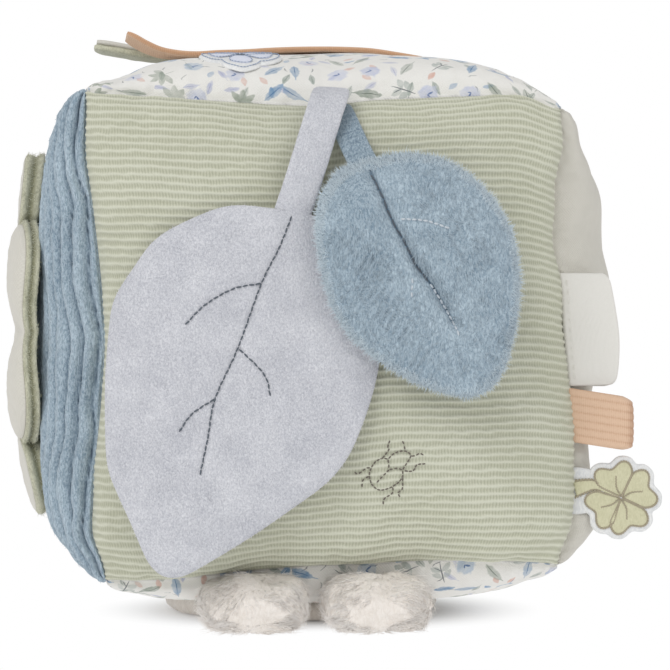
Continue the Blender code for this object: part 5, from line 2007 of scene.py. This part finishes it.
@dataclass
class SideTags:
    """The bare label, the ribbon loop and the clover patch, which are sewn into one seam."""

    seam_y: float = -62.6
    label_root: float = 64.4
    label_width: float = 31.2
    label_middle: float = 0.6
    label_slope: float = -0.083
    # The label's free end, as pairs of a height and a place across.
    label_end: tuple = ((-15.0, 76.0), (-14.3, 78.3), (-11.4, 79.6), (-1.0, 79.9), (12.1, 78.0),
                        (15.2, 76.8), (16.2, 75.4))
    loop_width: float = 14.8
    loop_length: float = 19.4
    loop_tilt: float = 0.155
    patch_middle: tuple[float, float, float] = (80.2, -63.6, 36.3)
    hearts: tuple[float, ...] = (1.89, 0.36, -1.24, -2.63)

    def bend(self, root: float) -> Bend:
        """A tag's bend: from its sewn edge on the block to a little past the seam."""
        sewn = np.array((root, self.seam_y, 80.0))
        return Bend("block", sewn - 0.5 * X, sewn + 3.5 * X)

    def build_label(self) -> None:
        """A bare satin label folded once, with a line of stitching at its slanting root."""
        root, width, middle, slope = self.label_root, self.label_width, self.label_middle, self.label_slope
        height = middle + np.linspace(-width / 2, width / 2, 60)
        edge = through(self.label_end, 120)
        lengths = np.interp(height, *edge.T) - root - slope * (height - middle)
        shape = folded(np.array((root, self.seam_y, MIDDLE[2] + middle)), X, -Y, Z, lengths, width, 0.5, 0.9)
        swing = slope * (shape.points[:, 2] - MIDDLE[2] - middle)
        out = smooth(66, 80, shape.points[:, 0])
        shape.points[:, 0] += swing
        shape.points[:, 1] -= (0.6 * np.sin((shape.points[:, 2] - 70) * 0.16) + 0.25) * out
        bend = self.bend(65.0)
        piece("side_label", shape, SATIN, "side_label", ["side_label"], bend=bend)
        z = np.linspace(-13.6, 14.8, 40)
        line = np.stack((root + 2.0 + slope * (z - middle), z + MIDDLE[2]), 1)
        line = np.insert(line, 1, self.seam_y - 1.05, axis=1)
        piece("side_label_stitching", stitches(line, -Y, 1.5, 0.9, 0.12), SATIN, "side_label", bend=bend)

    def build_loop(self) -> None:
        """A loop of grosgrain ribbon with fine ribs along it, which tilts down a little."""
        root = np.array((64.6, self.seam_y - 0.5, 59.4))
        share = np.abs(np.linspace(-1, 1, 85))
        lengths = self.loop_length - 0.8 * share ** 4 - 2.2 * np.maximum(share - 0.8, 0) ** 2 / 0.04
        shape = folded(root, X, -Y, Z, lengths, self.loop_width, 0.9, 5.0, 7, 0.16)
        # Painted shade: fainter between the ribs, and darker over the fold at the loop's end.
        shape.groove = 0.4 * shape.groove + 0.75 * smooth(81.0, 84.2, shape.points[:, 0])
        shape.points[:, 2] -= self.loop_tilt * (shape.points[:, 0] - self.label_root)
        piece("ribbon_loop", shape, PEACH, "ribbon_loop", ["ribbon_loop"], bend=self.bend(65.0))

    def build_patch(self) -> None:
        """A white felt clover with four stitched green hearts, outlines, veins and a stem."""
        middle = np.array(self.patch_middle)

        def placed(flat: Array, height: Array) -> Array:
            """Flat places of the patch at a height before its back."""
            return middle + flat[..., :1] * X + flat[..., 1:] * Z - height[..., None] * Y

        leaf = heart(10.7, 0.79, 0.24, 0.36, 0.4, 90)
        a = np.linspace(-math.pi, math.pi, 220, endpoint=False)
        reach = np.full(220, 5.0)
        for angle in self.hearts:
            line = turned(leaf, angle)
            at = np.arctan2(line[:, 1], line[:, 0])
            far = np.linalg.norm(line, axis=1)
            apart = np.abs((a[:, None] - at[None] + math.pi) % math.tau - math.pi)
            reach = np.maximum(reach, (far[None] * (apart < 0.09)).max(1) + 1.5)
        outline = rounded(reach[:, None] * np.stack((np.cos(a), np.sin(a)), 1), 26.0)
        flat, height = patch(outline, 1.1, 0.15, 18)
        felt = [Shape.rings(placed(flat, height), flat)]
        tab = np.array(((-15.2, 7.6), (-6.0, 7.0), (-3.0, 2.0), (-6.0, -3.2), (-15.2, -3.8)))
        felt.append(raised(rounded(through(tab, 80, closed=True), 14.0), 0.8, 0.05, 8, -0.15, placed))
        body, bend = "clover_patch", self.bend(66.0)
        piece("clover_patch", Shape.joined(felt), WHITE_FELT, body, ["clover_patch"], bend=bend)
        hearts, rows = [], []
        for angle in self.hearts:
            line = turned(leaf, angle)
            hearts.append(raised(line, 0.3, 0.25, 9, 1.05, placed))
            line = placed(shut(line), np.full(len(line) + 1, 1.32))
            rows.append(stitches(line, -Y, 0.66, -0.34, 0.2, 1.15))
            vein = through(turned(np.array(((0.8, 0.0), (3.2, 0.35), (6.2, -0.5))), angle), 16)
            rows.append(stitches(placed(vein, np.full(16, 1.58)), -Y, 0.6, -0.25, 0.17, 0.9))
        piece("clover_patch_hearts", Shape.joined(hearts), CLOVER_FELT, body, bend=bend)
        stem = through(((-12.8, 2.4), (-9.8, 3.2), (-7.1, 3.4), (-3.4, 1.6), (-0.8, 0.2)), 40)
        width = np.stack((np.interp(np.arange(40), (0, 12, 22, 39), (2.3, 1.6, 0.9, 0.3)), np.ones(40)), 1)
        path = placed(stem, np.full(40, 0.75))
        shape = swept(path, np.broadcast_to(Z, path.shape), strip(2.0, 1.3, 9), width)
        piece("clover_patch_stem", shape, CLOVER_FELT, body, bend=bend)
        for side in (-1, 1):
            line = path[:24] + Z * side * width[:24, :1] - Y * 0.4
            rows.append(stitches(line, -Y, 0.85, -0.43, 0.24, 1.15))
        piece("clover_patch_outline", Shape.joined(rows), GREEN_THREAD, body, bend=bend)

    def build(self) -> None:
        """All three tags."""
        self.build_label()
        self.build_loop()
        self.build_patch()


# What lies on top


@dataclass
class TopTrims:
    """The ribbon over the crown, the folded tab behind it and the blossom patch."""

    block: Block
    ribbon_y: float = -6.5
    ribbon_width: float = 15.0
    ribbon_ribs: int = 7
    tab_y: float = 10.0
    tab_half_width: float = 7.5
    tab_half_height: float = 1.3
    blossom_middle: tuple[float, float] = (-24.2, -46.8)

    def crown(self, x: Array, y: Array) -> Array:
        """The top panel's height over a flat place."""
        place = np.stack(np.broadcast_arrays(x, y, 0.0), -1).astype(float)
        return self.block.surface("top_panel", place)[..., 2] + MIDDLE[2]

    def build_ribbon(self) -> None:
        """The ribbon: a flat ribbed section along the crown, whose free end curls up and twists."""
        x = np.linspace(29.5, -37.0, 10)
        under = self.crown(x, np.full(10, self.ribbon_y))
        level = np.polyval(np.polyfit(x, under, 2), x)
        level = level + max(float((under - level)[2:].max()), 0)
        sewn = smooth(8, 26, x)
        above = 1.0 + 0.9 * smooth(-22, -38, x) - 0.4 * sewn
        laid = np.stack((x, level * (1 - sewn) + under * sewn + above), 1)
        tip = np.array(((-45.5, 81.3), (-50.5, 83.0), (-53.5, 84.6), (-56.4, 86.2)))
        line = through(np.vstack((laid, tip + (0, MIDDLE[2]))), 110)
        path = np.insert(line, 1, self.ribbon_y, axis=1)
        twist = 0.12 * smooth(-38, -56, path[:, 0])
        side = Y * np.cos(twist)[:, None] - Z * np.sin(twist)[:, None]
        across = np.linspace(-self.ribbon_width / 2, self.ribbon_width / 2, 57)
        wave = (1 - np.abs(np.sin(math.pi * self.ribbon_ribs * (across / self.ribbon_width + 0.5)))) ** 1.4
        height = 0.8 - 0.22 * wave
        height[0] = height[-1] = 0.1
        profile = np.vstack((np.stack((across, height), 1), np.stack((across[::-1], -height[::-1]), 1)))
        past = np.clip((-52.0 - path[:, 0]) / 4.6, 0, 1)
        taper = np.sqrt(np.maximum(1 - past ** 2.2, 0))
        shape = swept(path, side, profile, np.stack((0.72 + 0.28 * taper, 0.45 + 0.55 * taper), 1))
        # Painted shade between the ribs, read by the finish through the groove attribute.
        shape.groove = np.concatenate((np.tile(np.concatenate((wave, wave[::-1])), len(path)), (0, 0)))
        bend = Bend("block", np.array((30.0, self.ribbon_y, 162.8)), np.array((23.0, self.ribbon_y, 162.8)))
        piece("top_ribbon", shape, PALE_PEACH, "top_ribbon", ["top_ribbon"], bend=bend)

    def build_tab(self) -> None:
        """A padded tab: sage velour round a soft inlay, and a cream face above, round at its tip."""
        start = float(self.crown(np.array(-37.0), np.array(self.tab_y))) - MIDDLE[2] + 1.9
        knots = ((-36.0, start), (-44.0, max(81.7, start)), (-52.0, 82.5), (-60.0, 83.8), (-66.0, 84.9))
        path = np.insert(through(knots, 60) + np.array((0, MIDDLE[2])), 1, self.tab_y, axis=1)
        past = np.clip((-61.0 - path[:, 0]) / 5.2, 0, 1)
        taper = np.sqrt(np.maximum(1 - past ** 2.2, 0))
        widths = np.stack((0.45 + 0.55 * taper, 0.25 + 0.75 * taper), 1)
        bend = Bend("block", np.array((-36.5, self.tab_y, 162.8)), np.array((-42.0, self.tab_y, 164.0)))
        side = np.broadcast_to(Y, path.shape)
        across, high = circle(40).T
        oval = np.stack((self.tab_half_width * np.sign(across) * np.abs(across) ** 0.55,
                         self.tab_half_height * np.sign(high) * np.abs(high) ** 0.75), 1)
        upward = np.cross(unit(np.gradient(path, axis=0)), side)
        upward = upward * np.sign(upward[:, 2:])
        flap = swept(path - upward * 0.65, side, oval, widths)
        flap.points += np.array((0, 0.3, 1.0)) * 0.14 * ripple(flap.points, 5.0, 57)[:, None]
        piece("top_tab", flap, SAGE_VELOUR, "top_tab", ["top_tab"], bend)
        face = swept((path + upward * 0.95)[6:-1], side[6:-1], strip(14.6, 2.0, 17), widths[6:-1])
        piece("top_tab_face", face, CREAM, "top_tab", bend=bend)

    def build_blossom(self) -> None:
        """A white felt blossom of five petals, edged and drawn in thread, which lies over the edge."""
        def placed(flat: Array, height: Array) -> Array:
            """Lays flat places on the patch, which lies on the crown and droops over its edge.

            Args:
                flat: The flat places.
                height: How far above the patch's underside they lie.

            Returns:
                The places.
            """
            x, y = self.blossom_middle[0] + flat[..., 1], self.blossom_middle[1] - 0.96 * flat[..., 0]
            level = MIDDLE[2] + np.minimum(77.2 + 0.275 * (y + 35.5), 77.2)
            return np.stack((x, y, np.maximum(level, self.crown(x, y) + 0.3) + height), -1)

        a = np.linspace(-math.pi, math.pi, 180, endpoint=False)
        reach = 11.9 * (0.80 + 0.20 * np.abs(np.cos(2.5 * a)) ** 0.7)
        outline = rounded(reach[:, None] * np.stack((np.cos(a), np.sin(a)), 1), 45)
        flat, height = patch(outline, 1.3, 0.2)
        lift = 0.5 * smooth(6, 12, np.linalg.norm(flat, axis=-1))
        body = "blossom_patch"
        felt = [Shape.rings(placed(flat, height + lift), flat)]
        stem = np.stack((np.linspace(-23.5, -9.0, 24), np.zeros(24)), 1)
        path = placed(stem, np.full(24, 0.35))
        felt.append(swept(path, np.broadcast_to(X, path.shape), strip(5.0, 0.9, 9)))
        piece("blossom_patch", Shape.joined(felt), WHITE_FELT, body, ["blossom_patch"])
        edge = shut(outline * 0.93)
        rows = [stitches(placed(edge, np.full(len(edge), 1.72)), Z, 0.8, 0.1, 0.16, 0.2)]
        hearts = []
        leaf = heart(9.2, 0.50, 0.03, 0.30, 2.0, 60)
        for k in range(5):
            line = turned(leaf, math.tau * k / 5)
            hearts.append(raised(line, 0.16, 0.14, 7, 1.6, placed))
            line = shut(line)
            level = 1.82 + 0.3 * smooth(6, 12, np.linalg.norm(line, axis=1))
            rows.append(stitches(placed(line, level), Z, 0.8, 0.1, 0.13, 0.15))
        piece("blossom_petals", Shape.joined(hearts), LILAC_STITCH, body)
        piece("blossom_edging", Shape.joined(rows), BLUE_THREAD, body)
        knot = np.linspace(-math.pi, math.pi, 20)
        knot = placed(0.9 * np.stack((np.cos(knot), np.sin(knot)), 1), np.full(20, 1.75))
        piece("blossom_middle", stitches(knot, Z, 0.9, 0.05, 0.3, 0.5), DARK_THREAD, body)

    def build(self) -> None:
        """All that lies on top."""
        self.build_ribbon()
        self.build_tab()
        self.build_blossom()


# What the block stands on


@dataclass
class PlushBase:
    """The round pad, and the two fluffy tabs before it."""

    block: Block
    pad_radius: float = 40.0
    pad_x: float = -5.0
    tab_width: float = 28.5
    tab_height: float = 15.6
    tab_corners: float = 0.68
    reach: float = 77.5
    root: float = 39.5
    fibres: int = 5200
    # The pad's rim as pairs of a share of its radius and a share of its height.
    rim: tuple[tuple[float, float], ...] = ((0.955, 0.96), (0.99, 0.8), (1.0, 0.5), (0.985, 0.22),
                                            (0.95, 0.05), (0.9, 0.0), (0.4, 0.0))

    def ceiling(self, x: Array, y: Array) -> Array:
        """The room under the block.

        Args:
            x: Flat places across.
            y: Flat places in depth.

        Returns:
            The height of the block's underside there, and a great height outside it.
        """
        place = np.stack(np.broadcast_arrays(x, y, 0.0), -1).astype(float)
        under = self.block.surface("bottom_panel", place)[..., 2] + MIDDLE[2]
        outside = (np.abs(x) > self.block.half - 2) | (np.abs(y) > self.block.half - 2)
        return np.where(outside, 60.0, under)

    def build_pad(self) -> None:
        """The pad: dished above to the block, flat below, with a full rounded rim."""
        ring = circle(120)
        rings = []
        for share in (0.05, 0.25, 0.45, 0.65, 0.8, 0.9):
            flat = ring * self.pad_radius * share + np.array((self.pad_x, 0))
            height = self.ceiling(flat[:, 0], flat[:, 1]) - 0.35
            rings.append(np.column_stack((flat, height)))
        rim_top = rings[-1][:, 2]
        for reach, level in self.rim:
            flat = ring * self.pad_radius * reach * (1 + 0.012 * ripple(ring * 30, 9, 71))[:, None]
            rings.append(np.column_stack((flat + np.array((self.pad_x, 0)), rim_top * level)))
        rings = np.stack(rings)
        piece("base_pad", Shape.rings(rings, rings[..., :2]), PAD_PLUSH, "block", ["base_pad"])

    def tab_point(self, x: float, share: Array, turn: Array, swell: float) -> Array:
        """A place on a tab: an oval section that narrows at its root and rounds off at its tip.

        Args:
            x: Where the tab's middle lies across.
            share: How far along the tab, from 0 to 1.
            turn: The angle round it.
            swell: How uneven it is.

        Returns:
            The places.
        """
        past = np.maximum(share - 0.68, 0) / 0.32
        end = np.sqrt(np.maximum(1 - past ** 2.4, 0))
        opening = 0.80 + 0.20 * np.minimum(share / 0.2, 1)
        half = self.tab_width / 2 * opening * (0.4 + 0.6 * end)
        low = 3.4 * (1 - end)
        height = self.tab_height * (0.45 + 0.55 * end) - low
        side = x + half * np.sign(np.cos(turn)) * np.abs(np.cos(turn)) ** self.tab_corners
        y = -self.root - (self.reach - self.root) * (share + 0.02 * np.sin(turn * 2))
        z = low + height * (1 + np.sign(np.sin(turn)) * np.abs(np.sin(turn)) ** self.tab_corners) / 2
        place = np.stack(np.broadcast_arrays(side, y, z), -1)
        place = place + np.stack([ripple(place, 11, 80 + k) for k in range(3)], -1) * swell
        place[..., 2] = np.clip(place[..., 2], 0.0, self.ceiling(place[..., 0], place[..., 1]) - 1.0)
        return place

    def build_tab(self, name: str, x: float, seed: int) -> None:
        """A fleece tab: a lumpy core, and fibres combed to both sides from a parting that lie on it.

        Args:
            name: The tab's name.
            x: Where its middle lies across.
            seed: Starts the random draws.
        """
        share, turn = 1 - np.linspace(1, 0, 90)[:, None] ** 1.5, np.arange(120)[None] * math.tau / 120
        core = self.tab_point(x, share, turn, 0.45)
        tuft = ripple(core * np.array((0.55, 1.0, 1.6)), 4.5, seed + 5, 14)
        normal = unit(np.cross(np.gradient(core, axis=1), np.gradient(core, axis=0)))
        centre = core.mean((0, 1))
        normal = normal * np.sign(((core - centre) * normal).sum(-1, keepdims=True))
        core = core + normal * (0.4 * tuft * smooth(0.1, 0.3, share))[..., None]
        core[..., 2] = np.maximum(core[..., 2], 0.0)
        piece(name, Shape.rings(core, core[..., :2]), WHITE_PLUSH, name, [name])
        random = np.random.default_rng(seed)
        row = (8 + 80 * random.uniform(0, 1, self.fibres) ** 0.8).astype(int)
        col = random.integers(0, 120, self.fibres)
        roots, outward = core[row, col] + random.normal(0, 0.25, (self.fibres, 3)), normal[row, col]
        side = np.tanh((roots[:, 0] - x - 3 * ripple(roots, 16, seed + 1)) / 3.0)
        comb = np.stack((side + 0.5 * ripple(roots, 8, seed + 2), -0.25 + 0.3 * ripple(roots, 9, seed + 3),
                         -0.45 + 0.6 * ripple(roots, 7, seed + 4)), 1)
        made = pelt(roots, outward, comb, (1.4, 3.2), 0.085, 0.06, seed + 6)
        loose = pelt(roots[::8], outward[::8], comb[::8], (2.0, 4.4), 0.085, 0.4, seed + 7)
        made = Shape.joined((made, loose))
        roof = self.ceiling(made.points[:, 0], made.points[:, 1]) - 0.6
        made.points[:, 2] = np.clip(made.points[:, 2], 0.05, np.maximum(roof, 0.1))
        piece(name + "_fibres", made, WHITE_FIBRES, name)

    def build(self) -> None:
        """The pad and both tabs."""
        self.build_pad()
        self.build_tab("plush_tab_left", -20.9, 91)
        self.build_tab("plush_tab_right", 12.8, 95)


# The stitched picture on the front


@dataclass
class Ladybird:
    """A plain beetle in running stitch on the front panel, below the small leaf."""

    block: Block
    middle: tuple[float, float] = (12.6, -36.9)
    # Its outline, shield, wing line, feelers and legs, from its own middle.
    lines: tuple = (
        ((0.2, 3.5), (-1.3, 3.8), (-3.0, 3.0), (-4.0, 1.5), (-4.4, -0.3), (-3.8, -2.6), (-2.6, -4.0),
         (-1.2, -4.6), (0.7, -4.3), (1.8, -3.8), (3.3, -2.8), (4.2, -1.3), (4.2, 0.3)),
        ((0.3, 3.5), (1.3, 4.6), (3.0, 5.3), (4.6, 5.3), (5.8, 4.6), (6.1, 3.9), (5.4, 2.5), (4.6, 1.2),
         (4.2, 0.3)),
        ((0.2, 3.5), (0.5, 2.3), (0.8, 0.8), (2.8, 0.9), (4.2, 0.3)),
        ((0.8, 0.8), (-0.7, -0.7), (-2.5, -2.6)),
        ((-1.3, 3.8), (0.2, 5.8), (0.0, 6.9), (0.4, 8.5)),
        ((4.5, 5.5), (4.1, 7.1), (3.5, 8.3)),
        ((6.1, 3.9), (7.3, 4.0), (8.4, 4.5), (9.5, 3.9)),
        ((4.6, 0.1), (6.8, 0.0), (7.9, 1.5), (10.1, 1.7)),
        ((-4.2, 1.5), (-5.3, 1.5), (-7.3, 0.2), (-8.4, 0.8)),
        ((-4.4, -0.6), (-6.0, -1.6), (-6.2, -3.6)),
        ((1.8, -3.9), (1.8, -5.5), (-0.3, -7.1), (-0.4, -8.6)),
        ((4.3, -1.6), (4.3, -4.6), (3.3, -5.6), (3.9, -6.9)),
    )

    def build(self) -> None:
        """Lays the lines on the panel's face and sews them."""
        rows = []
        for line in self.lines:
            flat = through(line, 40) + np.array(self.middle)
            place = self.block.surface("front_panel", np.insert(flat, 1, 0.0, axis=1))
            place = self.block.strayed(place) + MIDDLE
            rows.append(stitches(place - Y * 0.05, -Y, 0.95, 0.16, 0.22))
        piece("front_ladybird_stitching", Shape.joined(rows), BROWN_THREAD, "block")


# The studio


@dataclass
class Studio:
    """The floor, the lights and the camera."""

    azimuth: float = -3.0
    elevation: float = 0.2
    distance: float = 865.0
    focal_pixels: float = 2923.0
    picture: int = 670
    aim_right: float = 5.03
    aim_up: float = -1.18
    # How strongly the white surroundings light the block.
    ambient: float = 0.60
    # The shadow on the floor fades out between these distances, in metres.
    shadow: tuple[float, float] = (0.03, 0.068)
    # Each light's name, its place and width in metres, and its power in watts.
    lights: tuple = (("key", (-0.9, -1.3, 1.25), 1.1, 13.0), ("fill", (1.2, -1.2, 0.6), 1.4, 3.4))

    def build_camera(self) -> None:
        """The camera stands left of the front and looks almost level at the block."""
        azimuth, elevation = math.radians(self.azimuth), math.radians(self.elevation)
        back = np.array((math.sin(azimuth) * math.cos(elevation), -math.cos(azimuth) * math.cos(elevation),
                         math.sin(elevation)))
        right = unit(np.cross(-back, Z))
        eye = MIDDLE + back * self.distance
        target = MIDDLE + right * self.aim_right + np.cross(right, -back) * self.aim_up
        data = bpy.data.cameras.new("camera")
        data.sensor_width = 36.0
        data.lens = self.focal_pixels * data.sensor_width / self.picture
        data.clip_start, data.clip_end = 0.05, 20.0
        camera = bpy.data.objects.new("camera", data)
        bpy.context.scene.collection.objects.link(camera)
        camera.location = Vector(eye * MM)
        camera.rotation_mode = "QUATERNION"
        camera.rotation_quaternion = Vector((target - eye) * MM).to_track_quat("-Z", "Y")
        bpy.context.scene.camera = camera

    def build_light(self, name: str, place: Sequence[float], size: float, power: float) -> None:
        """A square soft light that faces the block.

        Args:
            name: The light's name.
            place: Where it stands, in metres.
            size: How wide it is, in metres.
            power: How strong it is, in watts.
        """
        data = bpy.data.lights.new(name, "AREA")
        data.size, data.energy = size, power
        light = bpy.data.objects.new(name, data)
        bpy.context.scene.collection.objects.link(light)
        light.location = Vector(place)
        light.rotation_mode = "QUATERNION"
        light.rotation_quaternion = (Vector(MIDDLE * MM) - Vector(place)).to_track_quat("-Z", "Y")

    def build_world(self) -> None:
        """White all round: full white where it is seen or mirrored, softer where it lights."""
        world = bpy.data.worlds.new("studio")
        bpy.context.scene.world = world
        world.use_nodes = True
        tree = world.node_tree
        path = add(tree, "LightPath").node
        seen = add(tree, "Math", {0: path.outputs["Is Camera Ray"], 1: path.outputs["Is Glossy Ray"]},
                   operation="MAXIMUM")
        seen = add(tree, "Math", {0: seen, 1: path.outputs["Is Transmission Ray"]}, operation="MAXIMUM")
        strength = add(tree, "MapRange", {"Value": seen, "To Min": self.ambient, "To Max": 1.0})
        tree.links.new(strength, tree.nodes["Background"].inputs["Strength"])
        tree.nodes["Background"].inputs["Color"].default_value = (1, 1, 1, 1)

    def build_floor(self) -> None:
        """A white floor that keeps the shadow near the block and turns to plain white further off."""
        mesh = bpy.data.meshes.new("floor")
        corners = [(x, y, -0.0002) for x, y in ((-6, -6), (6, -6), (6, 6), (-6, 6))]
        mesh.from_pydata(corners, [], [(0, 1, 2, 3)])
        floor = bpy.data.objects.new("floor", mesh)
        bpy.context.scene.collection.objects.link(floor)
        made = bpy.data.materials.new("floor_paint_white")
        made.use_nodes = True
        tree = made.node_tree
        shader = tree.nodes["Principled BSDF"]
        shader.inputs["Base Color"].default_value = (0.88, 0.88, 0.88, 1)
        shader.inputs["Roughness"].default_value = 0.9
        shader.inputs["Specular IOR Level"].default_value = 0.1
        place = add(tree, "TexCoord").node.outputs["Object"]
        far = add(tree, "VectorMath", {0: place}, operation="LENGTH").node.outputs["Value"]
        far = add(tree, "MapRange", {"Value": far, "From Min": self.shadow[0], "From Max": self.shadow[1]},
                  interpolation_type="SMOOTHSTEP")
        glow = add(tree, "Emission", {"Strength": 1.0})
        mixed = add(tree, "MixShader", {0: far, 1: shader.outputs[0], 2: glow})
        tree.links.new(mixed, tree.nodes["Material Output"].inputs["Surface"])
        mesh.materials.append(made)

    def build(self) -> None:
        """Everything round the block."""
        scene = bpy.context.scene
        scene.view_settings.view_transform = "Standard"
        self.build_camera()
        self.build_world()
        self.build_floor()
        for light in self.lights:
            self.build_light(*light)


def main() -> None:
    """Builds the studio and every piece of the block, in order."""
    logging.basicConfig(level=logging.INFO, format="%(message)s")
    Studio().build()
    block = Block()
    block.build()
    Leaves().build()
    Clover().build()
    SideTags().build()
    TopTrims(block).build()
    PlushBase(block).build()
    Ladybird(block).build()


if __name__ == "__main__":
    main()
